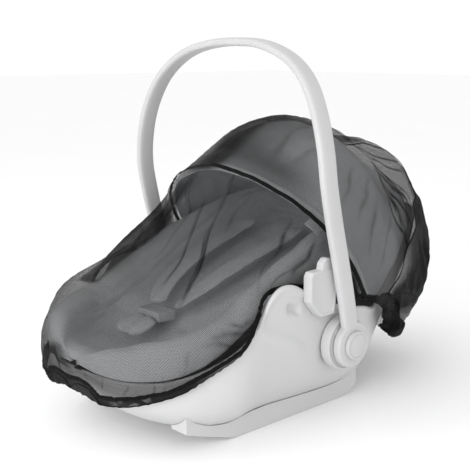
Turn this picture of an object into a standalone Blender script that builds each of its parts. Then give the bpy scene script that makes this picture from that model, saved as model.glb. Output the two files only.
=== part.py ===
"""Infant carrier wearing a fitted insect net: the solids, in metres, +Z up, foot end towards -Y.

The net is one draped surface, read from a table of cross sections that fan round the hood's
pivots. Its sewn panels, tapes and binding are stretches of that surface. The carrier under it,
with its shell, runners, liner, hood, harness and swinging handle, is plain.
"""

from collections import namedtuple

import bmesh
import bpy
import numpy as np
from mathutils import Matrix, Vector

# The row's origin lies under the middle of the whole, so the drawing's y moves by this much
CENTRE_Y = 0.0433

NET_THICKNESS = 0.0016
TAPE_THICKNESS = 0.0012
TAPE_GAP = 0.0012  # between the net and a tape sewn on it
PANEL_GAP = 0.0006  # between neighbouring panels of the net
NET_ACROSS = 29  # points over one cross section of a panel
FINE_ROWS, FINE_ACROSS = 8, 145  # the drawn surface: rows for each section, points over it

# One row for each cross section of the net, from the toe of the carrier to behind its head.
# A section runs from the near hem over the spine to the far hem.
Arch = namedtuple("Arch", "spine_y spine_z hem_x hem_y hem_z side crown swell reach")
NET_SECTIONS = (
    (-0.3090, 0.0822, 0.012, -0.3085, 0.0820, 2.2, 2.2, 0.000, 0.000),
    (-0.3130, 0.1150, 0.064, -0.3000, 0.0730, 2.2, 2.2, 0.000, -0.001),
    (-0.3090, 0.1480, 0.100, -0.2850, 0.0775, 2.3, 2.3, 0.000, -0.001),
    (-0.2980, 0.1740, 0.128, -0.2630, 0.0850, 2.3, 2.3, 0.001, -0.001),
    (-0.2800, 0.1940, 0.150, -0.2370, 0.0965, 2.2, 2.2, 0.001, 0.000),
    (-0.2550, 0.2130, 0.168, -0.2110, 0.1130, 2.3, 2.2, 0.002, 0.000),
    (-0.2250, 0.2290, 0.181, -0.1840, 0.1290, 2.2, 2.0, 0.001, 0.000),
    (-0.1950, 0.2450, 0.187, -0.1600, 0.1430, 1.9, 1.75, 0.000, 0.000),
    (-0.1660, 0.2590, 0.187, -0.1420, 0.1600, 1.6, 1.55, 0.000, 0.000),
    (-0.1390, 0.2740, 0.185, -0.1280, 0.1840, 1.5, 1.5, 0.000, 0.000),
    (-0.1150, 0.2940, 0.174, -0.1050, 0.2060, 1.6, 1.45, 0.000, 0.000),
    (-0.0940, 0.3150, 0.171, -0.0660, 0.2110, 1.8, 1.5, 0.000, 0.000),
    (-0.0750, 0.3340, 0.171, -0.0200, 0.2030, 2.2, 1.55, 0.002, 0.000),
    (-0.0570, 0.3520, 0.176, 0.0400, 0.1850, 2.8, 1.6, 0.005, 0.000),
    (-0.0420, 0.3670, 0.186, 0.0980, 0.1680, 3.4, 1.65, 0.007, 0.000),
    (0.0660, 0.4310, 0.187, 0.1100, 0.1640, 3.0, 1.65, 0.005, 0.000),
    (0.1520, 0.4290, 0.187, 0.1220, 0.1580, 3.0, 1.75, 0.004, 0.000),
    (0.2260, 0.3980, 0.186, 0.1320, 0.1520, 2.8, 1.9, 0.004, 0.000),
    (0.3000, 0.3830, 0.184, 0.1400, 0.1440, 2.6, 1.9, 0.004, 0.000),
    (0.3520, 0.3340, 0.179, 0.1480, 0.1300, 2.4, 2.0, 0.004, 0.000),
    (0.3870, 0.2740, 0.173, 0.1640, 0.1100, 2.4, 2.1, 0.005, 0.000),
    (0.4010, 0.2080, 0.159, 0.1920, 0.0920, 2.3, 2.1, 0.005, 0.000),
    (0.3930, 0.1500, 0.130, 0.2300, 0.0760, 2.2, 2.1, 0.004, 0.000),
    (0.3680, 0.1060, 0.082, 0.2700, 0.0660, 2.1, 2.1, 0.002, 0.000),
    (0.3240, 0.0700, 0.020, 0.2960, 0.0640, 2.0, 2.0, 0.000, 0.000),
)
FRONT_BOW = 14.0  # station of the hood's front edge, and of the seam over it
REAR_SEAM = 18.25
LAST_SECTION = len(NET_SECTIONS) - 1.0
Panel = namedtuple("Panel", "name first last rows_per_section")
PANELS = (
    Panel("net_front", 0.0, FRONT_BOW, 1.75),
    Panel("net_hood", FRONT_BOW, REAR_SEAM, 2.0),
    Panel("net_rear", REAR_SEAM, LAST_SECTION, 2.0),
)

# Elastic band of the front hem: station, and how far above the cut edge it lies along the net
ELASTIC_PLACES = (
    (1.0, 0.0150),
    (3.0, 0.0130),
    (5.0, 0.0100),
    (7.0, 0.0060),
    (9.0, 0.0045),
    (13.7, 0.0045),
)
ELASTIC_HALF_WIDTH = 0.0032
ELASTIC_TOE_STATION = 0.55
Tape = namedtuple("Tape", "name station first_over last_over steps half_width")
TAPES = (
    Tape("front_seam_tape", FRONT_BOW, 0.010, 0.990, 43, 0.0035),
    Tape("rear_seam_tape", REAR_SEAM, 0.070, 0.930, 37, 0.0022),
)

# Gathered hem behind the head: station and how tall the bunched roll is there, and its crinkles
GATHER_PLACES = ((16.0, 0.012), (16.8, 0.018), (18.0, 0.026), (21.5, 0.030), (23.0, 0.026))
GATHER_END_STATION = 23.5
GATHER_THICK = 0.0090
GATHER_CRINKLE = 0.0020
GATHER_CRINKLES = 17
# Section of the roll, in halves of its height and in its thickness
GATHER_OUTLINE = ((1.0, 0.0), (0.8, 0.7), (0.2, 1.0), (-0.5, 0.9), (-1.0, 0.0), (0.0, 0.0))

# Main folds: a ridge, or with a negative height a trough, from one place on the net to another.
# A place is a station and how far over the section it lies: 0 near hem, 0.5 spine, 1 far hem.
Fold = namedtuple("Fold", "from_s from_over to_s to_over half_width height")
FOLDS = (
    (12.6, 0.27, 5.2, 0.48, 0.014, 0.0040),
    (12.8, 0.39, 6.0, 0.55, 0.012, 0.0035),
    (12.9, 0.51, 7.2, 0.62, 0.012, 0.0035),
    (11.8, 0.18, 6.4, 0.33, 0.014, -0.0030),
    (12.7, 0.13, 9.4, 0.19, 0.010, 0.0030),
    (15.9, 0.33, 15.0, 0.18, 0.012, -0.0030),
    (15.6, 0.22, 14.7, 0.12, 0.011, 0.0025),
    (16.3, 0.37, 18.7, 0.25, 0.011, 0.0045),
    (16.3, 0.32, 18.7, 0.17, 0.010, 0.0045),
    (16.4, 0.26, 18.6, 0.11, 0.009, -0.0040),
    (16.3, 0.63, 18.7, 0.75, 0.011, 0.0045),
    (16.3, 0.69, 18.7, 0.83, 0.010, 0.0045),
    (3.4, 0.17, 4.4, 0.06, 0.014, 0.0030),
    (5.6, 0.17, 6.2, 0.05, 0.014, 0.0030),
    (14.42, 0.66, 14.42, 0.38, 0.020, -0.0045),
)

# Light cloth of the hood, in the net's own way of drawing, from its front edge to its back
HOOD_SECTIONS = (
    (-0.0360, 0.3600, 0.180, 0.0960, 0.1780, 3.4, 1.65, 0.006, 0.000),
    (0.0660, 0.4220, 0.179, 0.1100, 0.1740, 3.0, 1.65, 0.005, 0.000),
    (0.1460, 0.4200, 0.178, 0.1220, 0.1700, 3.0, 1.75, 0.004, 0.000),
    (0.2040, 0.3840, 0.176, 0.1320, 0.1680, 2.8, 1.85, 0.004, 0.000),
    (0.2600, 0.3540, 0.174, 0.1420, 0.1680, 2.6, 1.90, 0.004, 0.000),
    (0.3130, 0.3300, 0.166, 0.1540, 0.1740, 2.4, 2.00, 0.003, 0.000),
)
HOOD_THICKNESS = 0.0022
BOW_RADIUS = 0.0030
BOW_INSET = 0.0075  # centre of a bow under the hood's outer face
BOW_STATIONS = (("hood_bow_front", 0.25), ("hood_bow_rear", 2.0))
BOW_STATION_STEPS = 4

# Shell of the carrier: one row for each section from toe to head
Bucket = namedtuple("Bucket", "y half_width rim_z bottom_z squareness")
SHELL_SECTIONS = (
    (-0.2970, 0.0100, 0.1090, 0.1040, 2.4),
    (-0.2900, 0.0540, 0.1080, 0.0900, 2.6),
    (-0.2730, 0.0930, 0.1070, 0.0640, 2.8),
    (-0.2480, 0.1260, 0.1090, 0.0420, 3.1),
    (-0.2180, 0.1520, 0.1180, 0.0270, 3.4),
    (-0.1880, 0.1690, 0.1310, 0.0180, 3.6),
    (-0.1650, 0.1780, 0.1430, 0.0140, 3.7),
    (-0.1450, 0.1820, 0.1560, 0.0120, 3.8),
    (-0.1300, 0.1825, 0.1700, 0.0110, 3.8),
    (-0.1180, 0.1825, 0.1850, 0.0110, 3.8),
    (-0.1050, 0.1825, 0.2050, 0.0110, 3.8),
    (-0.0850, 0.1825, 0.2190, 0.0110, 3.8),
    (-0.0600, 0.1825, 0.2190, 0.0110, 3.8),
    (-0.0340, 0.1825, 0.2060, 0.0110, 3.8),
    (0.0050, 0.1825, 0.1880, 0.0110, 3.8),
    (0.0400, 0.1815, 0.1720, 0.0110, 3.8),
    (0.0750, 0.1795, 0.1620, 0.0110, 3.8),
    (0.1050, 0.1765, 0.1560, 0.0140, 3.8),
    (0.1280, 0.1710, 0.1490, 0.0240, 3.7),
    (0.1500, 0.1630, 0.1520, 0.0430, 3.5),
    (0.1950, 0.1500, 0.1860, 0.0760, 3.1),
    (0.2450, 0.1380, 0.2280, 0.1100, 2.8),
    (0.2950, 0.1200, 0.2600, 0.1500, 2.6),
    (0.3350, 0.0900, 0.2740, 0.2080, 2.5),
    (0.3560, 0.0200, 0.2800, 0.2700, 2.4),
)
SHELL_WALL = 0.0040
SHELL_ACROSS = 19

# Padded liner: its outer edge, the top of its rolled rim, and the seat's pit along the carrier
Liner = namedtuple("Liner", "y half_width edge_z rim_z pit_half_width pit_z")
LINER_SECTIONS = (
    (-0.3030, 0.0120, 0.1180, 0.1240, 0.006, 0.1230),
    (-0.2970, 0.0600, 0.1130, 0.1380, 0.030, 0.1330),
    (-0.2800, 0.0970, 0.1110, 0.1510, 0.052, 0.1340),
    (-0.2530, 0.1260, 0.1120, 0.1600, 0.074, 0.1240),
    (-0.2200, 0.1490, 0.1205, 0.1660, 0.094, 0.1200),
    (-0.1850, 0.1610, 0.1360, 0.1730, 0.108, 0.1260),
    (-0.1500, 0.1640, 0.1540, 0.1840, 0.116, 0.1400),
    (-0.1050, 0.1620, 0.1780, 0.2080, 0.118, 0.1640),
    (-0.0500, 0.1610, 0.1920, 0.2360, 0.116, 0.1900),
    (0.0100, 0.1600, 0.1980, 0.2600, 0.112, 0.2120),
    (0.0700, 0.1560, 0.2000, 0.2800, 0.106, 0.2320),
    (0.1300, 0.1490, 0.2050, 0.2960, 0.100, 0.2520),
    (0.1900, 0.1360, 0.2180, 0.3020, 0.092, 0.2700),
    (0.2400, 0.1240, 0.2360, 0.3000, 0.080, 0.2810),
    (0.2850, 0.1050, 0.2540, 0.2950, 0.060, 0.2850),
    (0.3150, 0.0780, 0.2700, 0.2910, 0.036, 0.2860),
    (0.3280, 0.0300, 0.2820, 0.2890, 0.012, 0.2880),
)
# Its rolled rim: share of the roll's width outside the pit, and of the rise from edge to rim
LINER_ROLL = ((1.0, 0.0), (0.98, 0.55), (0.78, 0.93), (0.50, 1.0))
# Its pit: share of the roll's width, share of the pit's half width, and of the drop to the pit
LINER_PIT = ((0.20, 1.0, 0.12), (0.0, 1.0, 0.45), (0.0, 0.86, 0.80), (0.0, 0.50, 0.97), (0.0, 0.0, 1.0))
LINER_THICKNESS = 0.0070
LINER_ACROSS = 21

HUB_Y, HUB_Z = 0.038, 0.118

# Half the handle's arch, from the hub's axis to the top, along its centre line: x, y and z
HANDLE_POINTS = (
    (0.2078, 0.0380, 0.1180),
    (0.2078, 0.0260, 0.1800),
    (0.2078, 0.0110, 0.2400),
    (0.2074, -0.0040, 0.2980),
    (0.2060, -0.0150, 0.3520),
    (0.2000, -0.0170, 0.4030),
    (0.1860, -0.0150, 0.4500),
    (0.1620, -0.0100, 0.4920),
    (0.1290, -0.0050, 0.5210),
    (0.0890, -0.0020, 0.5390),
    (0.0450, 0.0040, 0.5480),
    (0.0000, 0.0050, 0.5500),
)
HANDLE_THICK = 0.0130
HANDLE_DEPTH = 0.0300
HANDLE_STEPS = 34
HANDLE_SQUARENESS = 0.7
DISC_INSET = 0.0002  # a hub disc's faces inside those of the arch it is one with
DISC_ROUNDING = 0.0020
HUB_ROUNDING = 0.0030
HUB_RADIUS = 0.0340
CAP_RADIUS = 0.0210
HOUSING_RADIUS = 0.0400
HOUSING_X = (0.1840, 0.2000)
CAP_X = (0.2148, 0.2210)

# Belt guide on each side of the shell: its outline seen from the side, y and z
TOWER_OUTLINE = (
    (-0.0180, 0.1680),
    (-0.0300, 0.1800),
    (-0.0400, 0.1920),
    (-0.0400, 0.2280),
    (-0.0360, 0.2345),
    (-0.0190, 0.2350),
    (-0.0150, 0.2450),
    (-0.0080, 0.2510),
    (-0.0010, 0.2510),
    (0.0080, 0.2440),
    (0.0150, 0.2000),
    (0.0100, 0.1680),
)
TOWER_X = (0.1836, 0.1985)
TOWER_ROUNDING = 0.0040
TOWER_FACE = 0.86  # size of its outer face against its foot

RUNNER_X = (0.1060, 0.1380)
# Runners under the shell: y, and height of the foot
RUNNER_SECTIONS = (
    (-0.2180, 0.0300),
    (-0.1850, 0.0180),
    (-0.1550, 0.0085),
    (-0.1250, 0.0000),
    (-0.0650, 0.0000),
    (-0.0050, 0.0000),
    (0.0650, 0.0000),
    (0.0980, 0.0000),
    (0.1200, 0.0050),
    (0.1360, 0.0150),
)
RUNNER_TOP_POINTS = 5
RUNNER_FLAT = (3, 7)  # first and last row that stand on the ground
SEAT_CLEARANCE = 0.0010  # between a runner's top and the shell's underside

# Harness: the middle of a strap from the back rest down to the buckle, x, y, z, and its half width
STRAP_POINTS = (
    (0.0520, 0.0850, 0.2620, 0.017),
    (0.0520, 0.0450, 0.2490, 0.018),
    (0.0500, -0.0100, 0.2330, 0.019),
    (0.0450, -0.0650, 0.2130, 0.019),
    (0.0360, -0.1100, 0.1900, 0.017),
    (0.0220, -0.1400, 0.1680, 0.013),
)
STRAP_THICKNESS = 0.0060
STRAP_SIDES = 8
CROTCH_POINTS = (
    (0.0, -0.1750, 0.1570, 0.026),
    (0.0, -0.1900, 0.1540, 0.032),
    (0.0, -0.2050, 0.1490, 0.031),
    (0.0, -0.2170, 0.1420, 0.025),
)
CROTCH_THICKNESS = 0.0120
BUCKLE_CENTRE = (0.0, -0.1580, 0.1600)
BUCKLE_SIZE = (0.050, 0.030, 0.014)
BUCKLE_ROUNDING = 0.0040

SHELL_GREY = (0.60, 0.61, 0.62)
HANDLE_GREY = (0.68, 0.69, 0.70)
LINER_GREY = (0.62, 0.63, 0.64)
NET_BLACK = (0.012, 0.012, 0.013)


def clear_scene():
    """Removes whatever the file starts with."""
    for item in list(bpy.data.objects):
        bpy.data.objects.remove(item)


def finish_material(name, colour, roughness):
    """A plain Principled material."""
    material = bpy.data.materials.get(name) or bpy.data.materials.new(name)
    material.use_nodes = True
    shader = material.node_tree.nodes["Principled BSDF"]
    shader.inputs["Base Color"].default_value = (*colour, 1.0)
    shader.inputs["Roughness"].default_value = roughness
    shader.inputs["Metallic"].default_value = 0.0
    return material


def add_part(name, vertices, faces, material, sharp_angle=0.9):
    """Makes a named object of points and faces, moved into the row's frame."""
    mesh = bpy.data.meshes.new(name)
    placed = np.asarray(vertices, dtype=float) - np.array((0.0, CENTRE_Y, 0.0))
    mesh.from_pydata(placed.tolist(), [], faces)
    mesh.materials.append(material)
    work = bmesh.new()
    work.from_mesh(mesh)
    bmesh.ops.recalc_face_normals(work, faces=work.faces)
    work.to_mesh(mesh)
    work.free()
    mesh.shade_smooth()
    mesh.set_sharp_from_angle(angle=sharp_angle)
    part = bpy.data.objects.new(name, mesh)
    bpy.context.scene.collection.objects.link(part)
    return part


def read_rows(rows, place):
    """All columns of a table at a place between its rows, on a smooth curve."""
    table = np.asarray(rows, dtype=float)
    last = len(table) - 1
    lower = int(min(max(np.floor(place), 0), last - 1))
    part = place - lower
    before = table[lower - 1] if lower > 0 else 2 * table[0] - table[1]
    after = table[lower + 2] if lower + 2 <= last else 2 * table[last] - table[last - 1]
    here, there = table[lower], table[lower + 1]
    slope_here, slope_there = (there - before) / 2, (after - here) / 2
    return (
        (2 * part**3 - 3 * part**2 + 1) * here
        + (part**3 - 2 * part**2 + part) * slope_here
        + (3 * part**2 - 2 * part**3) * there
        + (part**3 - part**2) * slope_there
    )


def evenly(points, count):
    """The same line with its points an even distance apart."""
    steps = np.linalg.norm(np.diff(points, axis=0), axis=1)
    along = np.concatenate(([0.0], np.cumsum(steps)))
    wanted = np.linspace(0.0, along[-1], count)
    return np.stack([np.interp(wanted, along, points[:, axis]) for axis in range(3)], axis=1)


def arch(row, count):
    """One section of the net or hood, from the near hem over the spine to the far hem."""
    cut = Arch(*row)
    turn = np.linspace(0.0, np.pi, 241)
    rise = np.sin(turn).clip(0.0) ** (2 / cut.side)
    width = np.sign(np.cos(turn)) * np.abs(np.cos(turn)) ** (2 / cut.crown)
    belly = 4 * rise * (1 - rise)
    across = width * cut.hem_x + np.sign(np.cos(turn)) * belly * cut.swell
    along = cut.hem_y + (cut.spine_y - cut.hem_y) * rise + belly * cut.reach
    height = cut.hem_z + (cut.spine_z - cut.hem_z) * rise
    return evenly(np.stack((across, along, height), axis=1), count)


def stations(first, last, per_row):
    """Places along a table, a few for each row."""
    return np.linspace(first, last, int(round((last - first) * per_row)) + 1)


def arch_surface(rows, places, count):
    """A grid of points over a table of arches."""
    return np.array([arch(read_rows(rows, place), count) for place in places])


def unit(vectors):
    """Vectors at length one."""
    return vectors / np.maximum(np.linalg.norm(vectors, axis=-1, keepdims=True), 1e-12)


def grid_normals(grid):
    """Unit normals of a grid of points: outward on an arch, inward on the shell."""
    return unit(np.cross(np.gradient(grid, axis=0), np.gradient(grid, axis=1)))


def sample(surface, places, over):
    """Points of a drawn surface at stations and shares of the way over their sections."""
    row = np.asarray(places, dtype=float) * FINE_ROWS
    column = np.asarray(over, dtype=float) * (FINE_ACROSS - 1)
    i = np.clip(row.astype(int), 0, len(surface) - 2)
    j = np.clip(column.astype(int), 0, FINE_ACROSS - 2)
    a, b = (row - i)[..., None], (column - j)[..., None]
    low = surface[i, j] * (1 - b) + surface[i, j + 1] * b
    high = surface[i + 1, j] * (1 - b) + surface[i + 1, j + 1] * b
    return low * (1 - a) + high * a


def fold_relief(surface):
    """How far the folds raise or sink each point of the drawn net."""
    relief = np.zeros(surface.shape[:2])
    shares = np.linspace(0.0, 1.0, 33)
    for fold in (Fold(*row) for row in FOLDS):
        places = fold.from_s + (fold.to_s - fold.from_s) * shares
        line = sample(surface, places, fold.from_over + (fold.to_over - fold.from_over) * shares)
        apart = np.linalg.norm(surface[:, :, None, :] - line[None, None, :, :], axis=3)
        nearest = apart.argmin(axis=2)
        taper = np.sin(np.pi * (0.08 + 0.84 * shares[nearest])) ** 0.5
        relief += fold.height * taper * np.exp(-((apart.min(axis=2) / fold.half_width) ** 2))
    return relief


def draw_net():
    """The net's outer face as a fine grid, with its folds, and the grid's outward normals."""
    surface = arch_surface(NET_SECTIONS, stations(0.0, LAST_SECTION, FINE_ROWS), FINE_ACROSS)
    normals = grid_normals(surface)
    return surface + normals * fold_relief(surface)[:, :, None], normals


def arch_length(place):
    """Length of the net's cloth over one section."""
    line = arch(read_rows(NET_SECTIONS, place), 61)
    return np.linalg.norm(np.diff(line, axis=0), axis=1).sum()


def sheet_part(name, outer, inner, material):
    """A closed sheet between an outer and an inner grid of points."""
    rows, columns = outer.shape[:2]
    size = rows * columns
    vertices = np.concatenate((outer.reshape(-1, 3), inner.reshape(-1, 3)))

    def at(i, j, layer):
        return layer * size + i * columns + j

    faces = []
    for i in range(rows - 1):
        for j in range(columns - 1):
            for layer in (0, 1):
                faces.append((at(i, j, layer), at(i, j + 1, layer), at(i + 1, j + 1, layer), at(i + 1, j, layer)))
    for j in range(columns - 1):
        for i in (0, rows - 1):
            faces.append((at(i, j, 0), at(i, j + 1, 0), at(i, j + 1, 1), at(i, j, 1)))
    for i in range(rows - 1):
        for j in (0, columns - 1):
            faces.append((at(i, j, 0), at(i + 1, j, 0), at(i + 1, j, 1), at(i, j, 1)))
    return add_part(name, vertices, faces, material)


def tube_part(name, rings, material, closed=False, sharp_angle=0.9):
    """A closed solid through a list of rings of points."""
    count, sides = rings.shape[:2]
    vertices = rings.reshape(-1, 3)
    faces = []
    for i in range(count if closed else count - 1):
        for j in range(sides):
            k = (j + 1) % sides
            n = (i + 1) % count
            faces.append((i * sides + j, i * sides + k, n * sides + k, n * sides + j))
    if not closed:
        faces.append(tuple(range(sides)))
        faces.append(tuple((count - 1) * sides + j for j in reversed(range(sides))))
    return add_part(name, vertices, faces, material, sharp_angle)


def build_net(drawn, cloth):
    """The three sewn panels of the net."""
    surface, normals = drawn
    for panel in PANELS:
        places = stations(panel.first, panel.last, panel.rows_per_section)
        at, over = np.meshgrid(places, np.linspace(0.0, 1.0, NET_ACROSS), indexing="ij")
        outer = sample(surface, at, over)
        inner = outer - unit(sample(normals, at, over)) * NET_THICKNESS
        for face in (outer, inner):
            ahead = unit(np.gradient(face, axis=0))
            if panel.first > 0.0:
                face[0] += ahead[0] * PANEL_GAP / 2
            if panel.last < LAST_SECTION:
                face[-1] -= ahead[-1] * PANEL_GAP / 2
        sheet_part(panel.name, outer, inner, cloth)


def route_frame(drawn, route):
    """Middle, normal and sideways direction along places on the net."""
    surface, normals = drawn
    places, over = np.array(route).T
    middle = sample(surface, places, over)
    normal = unit(sample(normals, places, over))
    ahead = unit(np.gradient(middle, axis=0))
    return middle, normal, unit(np.cross(normal, ahead))


def edge_route(places, turn_station, steps_per_row):
    """A route along the net's near edge, round its end and back along the far edge."""
    first, last = places[0][0], places[-1][0]
    inward = turn_station > last
    run = stations(first, last, steps_per_row)
    heights = np.interp(run, *zip(*places))
    near = [(s, tall / arch_length(s)) for s, tall in zip(run, heights)]
    if not inward:
        near = near[::-1]
    end_station, end_over = near[-1]
    turn = []
    for share in np.linspace(1.0, -1.0, 13)[1:-1]:
        station = turn_station + (end_station - turn_station) * np.sin(np.pi / 2 * abs(share)) ** 1.6
        turn.append((station, 0.5 - share * (0.5 - end_over)))
    return near + turn + [(s, 1.0 - over) for s, over in near[::-1]]


def tape_rings(drawn, route, half_width):
    """Rings of a flat tape lying on the net along a route."""
    middle, normal, aside = route_frame(drawn, route)
    aside = aside * half_width
    low, high = normal * TAPE_GAP, normal * (TAPE_GAP + TAPE_THICKNESS)
    return np.stack((middle + aside + low, middle - aside + low, middle - aside + high, middle + aside + high), axis=1)


def build_hood(cloth, rod):
    """The hood's cloth and the two bows that carry it."""
    last = len(HOOD_SECTIONS) - 1.0
    outer = arch_surface(HOOD_SECTIONS, stations(0.0, last, 1.6), 25)
    sheet_part("hood_cloth", outer, outer - grid_normals(outer) * HOOD_THICKNESS, cloth)
    fine = arch_surface(HOOD_SECTIONS, stations(0.0, last, BOW_STATION_STEPS), 21)
    inside = fine - grid_normals(fine) * BOW_INSET
    for name, station in BOW_STATIONS:
        line = inside[int(station * BOW_STATION_STEPS)]
        ahead = unit(np.gradient(line, axis=0))
        side = unit(np.cross(ahead, (0.0, 1.0, 0.0)))
        other = np.cross(ahead, side)
        turns = np.linspace(0.0, 2 * np.pi, 6, endpoint=False)
        rings = np.stack([line + BOW_RADIUS * (np.cos(t) * side + np.sin(t) * other) for t in turns], axis=1)
        tube_part(name, rings, rod)


def shell_height(row, across):
    """Height of the shell's outer face at a half width across."""
    cut = Bucket(*row)
    share = np.clip(np.abs(across) / cut.half_width, 0.0, 1.0)
    return cut.rim_z - (cut.rim_z - cut.bottom_z) * (1 - share**cut.squareness) ** (1 / cut.squareness)


def shell_section(row, count):
    """One section of the shell, from the near rim under the belly to the far rim."""
    cut = Bucket(*row)
    turn = np.linspace(0.0, np.pi, 241)
    across = cut.half_width * np.sign(np.cos(turn)) * np.abs(np.cos(turn)) ** (2 / cut.squareness)
    height = cut.rim_z - (cut.rim_z - cut.bottom_z) * np.sin(turn).clip(0.0) ** (2 / cut.squareness)
    return evenly(np.stack((across, np.full_like(across, cut.y), height), axis=1), count)


def build_shell(plastic):
    """The open bucket of the carrier."""
    places = stations(0.0, len(SHELL_SECTIONS) - 1.0, 1)
    outer = np.array([shell_section(read_rows(SHELL_SECTIONS, place), SHELL_ACROSS) for place in places])
    inner = outer + grid_normals(outer) * SHELL_WALL
    sheet_part("shell", outer, inner, plastic)


def shell_row_at(y):
    """The shell's section at a given y."""
    places = stations(0.0, len(SHELL_SECTIONS) - 1.0, 40)
    rows = np.array([read_rows(SHELL_SECTIONS, place) for place in places])
    return np.array([np.interp(y, rows[:, 0], rows[:, column]) for column in range(rows.shape[1])])


def build_runners(plastic):
    """Two rockers under the shell, flat where they stand."""
    count = len(RUNNER_SECTIONS)
    places = stations(0.0, count - 1.0, 2)
    for name, side in (("runner_near", 1), ("runner_far", -1)):
        rings = []
        for place in places:
            y, foot_z = read_rows(RUNNER_SECTIONS, place)
            foot_z = max(foot_z, 0.0)
            if RUNNER_FLAT[0] <= place <= RUNNER_FLAT[1]:
                foot_z = 0.0
            row = shell_row_at(y)
            top_x = np.linspace(RUNNER_X[0], RUNNER_X[1], RUNNER_TOP_POINTS)
            top = [(side * x, y, shell_height(row, x) - SEAT_CLEARANCE) for x in top_x]
            foot = [(side * RUNNER_X[1], y, foot_z), (side * RUNNER_X[0], y, foot_z)]
            rings.append(top + foot)
        tube_part(name, np.array(rings), plastic, sharp_angle=0.6)


def liner_section(row, count):
    """One section of the padded liner: outer edge, rolled rim, pit, and back."""
    cut = Liner(*row)
    roll = cut.half_width - cut.pit_half_width
    half = [
        (cut.pit_half_width + out * roll, cut.edge_z + rise * (cut.rim_z - cut.edge_z))
        for out, rise in LINER_ROLL
    ]
    half += [
        (share * cut.pit_half_width + out * roll, cut.rim_z - drop * (cut.rim_z - cut.pit_z))
        for out, share, drop in LINER_PIT
    ]
    whole = np.array(half + [(-x, z) for x, z in reversed(half[:-1])])
    steps = np.linspace(0.0, len(whole) - 1.0, 121)
    smooth = np.array([read_rows(whole, step) for step in steps])
    line = np.stack((smooth[:, 0], np.full(len(smooth), cut.y), smooth[:, 1]), axis=1)
    return evenly(line, count)


def build_liner(cloth):
    """The padded seat."""
    places = stations(0.0, len(LINER_SECTIONS) - 1.0, 1)
    top = np.array([liner_section(read_rows(LINER_SECTIONS, place), LINER_ACROSS) for place in places])
    sheet_part("seat_liner", top, top - grid_normals(top) * LINER_THICKNESS, cloth)


def strap_rings(points, thickness, side=1):
    """Rings of a flat padded strap along a table of middle points."""
    places = stations(0.0, len(points) - 1.0, 2)
    rows = np.array([read_rows(points, place) for place in places])
    middle = rows[:, :3] * (side, 1, 1)
    ahead = unit(np.gradient(middle, axis=0))
    aside = unit(np.cross(ahead, (0.0, 0.0, 1.0)))
    above = np.cross(aside, ahead)
    turns = (np.arange(STRAP_SIDES) + 0.5) * 2 * np.pi / STRAP_SIDES
    corner = 1 / np.cos(np.pi / STRAP_SIDES)
    half = rows[:, 3:4] * corner
    thick = thickness / 2 * corner
    return np.stack([middle + aside * half * np.cos(t) + above * thick * np.sin(t) for t in turns], axis=1)


def build_harness(webbing, plastic):
    """Two shoulder straps, the crotch pad and the buckle."""
    for name, side in (("shoulder_strap_near", 1), ("shoulder_strap_far", -1)):
        tube_part(name, strap_rings(STRAP_POINTS, STRAP_THICKNESS, side), webbing)
    tube_part("crotch_pad", strap_rings(CROTCH_POINTS, CROTCH_THICKNESS), webbing)
    box_part("buckle", BUCKLE_CENTRE, BUCKLE_SIZE, BUCKLE_ROUNDING, plastic)


def box_part(name, centre, size, rounding, material):
    """A box with rounded edges."""
    work = bmesh.new()
    bmesh.ops.create_cube(work, size=1.0)
    for vertex in work.verts:
        vertex.co = [centre[axis] + vertex.co[axis] * size[axis] for axis in range(3)]
    bmesh.ops.bevel(work, geom=list(work.edges), offset=rounding, segments=2, profile=0.5, affect="EDGES")
    work.verts.index_update()
    vertices = [tuple(vertex.co) for vertex in work.verts]
    faces = [tuple(vertex.index for vertex in face.verts) for face in work.faces]
    work.free()
    return add_part(name, vertices, faces, material, 0.6)


def disc_rings(side, x_low, x_high, radius, rounding, sides=24):
    """Rings of a disc on the hub's axis with a rounded outer edge."""
    turns = np.linspace(0.0, 2 * np.pi, sides, endpoint=False)
    circle = np.stack((np.zeros(sides), np.cos(turns), np.sin(turns)), axis=1)
    profile = ((x_low, radius), (x_high - rounding, radius), (x_high - 0.3 * rounding, radius - 0.3 * rounding))
    profile += ((x_high, radius - rounding),)
    centre = np.array((0.0, HUB_Y, HUB_Z))
    return np.array([centre + circle * r + (side * x, 0.0, 0.0) for x, r in profile])


def turn_on_hub(part):
    """Puts a moving part's origin on the hub's axis, without moving the part."""
    axis = Vector((0.0, HUB_Y - CENTRE_Y, HUB_Z))
    part.data.transform(Matrix.Translation(-axis))
    part.location = axis


def build_hubs(shell_plastic, handle_plastic):
    """The fixed housing on each side of the shell and the turning cap over it."""
    for suffix, side in (("near", 1), ("far", -1)):
        housing = disc_rings(side, *HOUSING_X, HOUSING_RADIUS, HUB_ROUNDING)
        tube_part("hub_housing_" + suffix, housing, shell_plastic)
        cap = disc_rings(side, *CAP_X, CAP_RADIUS, HUB_ROUNDING)
        turn_on_hub(tube_part("hub_cap_" + suffix, cap, handle_plastic))


def build_towers(plastic):
    """The belt guide that stands on each side of the shell."""
    outline = np.array(TOWER_OUTLINE)
    middle = outline.mean(axis=0)
    for suffix, side in (("near", 1), ("far", -1)):
        rings = []
        for x, shrink in ((TOWER_X[0], 1.0), (TOWER_X[1] - TOWER_ROUNDING, 1.0), (TOWER_X[1], TOWER_FACE)):
            ring = middle + (outline - middle) * shrink
            rings.append([(side * x, y, z) for y, z in ring])
        tube_part("belt_guide_" + suffix, np.array(rings), plastic, sharp_angle=0.5)


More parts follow.
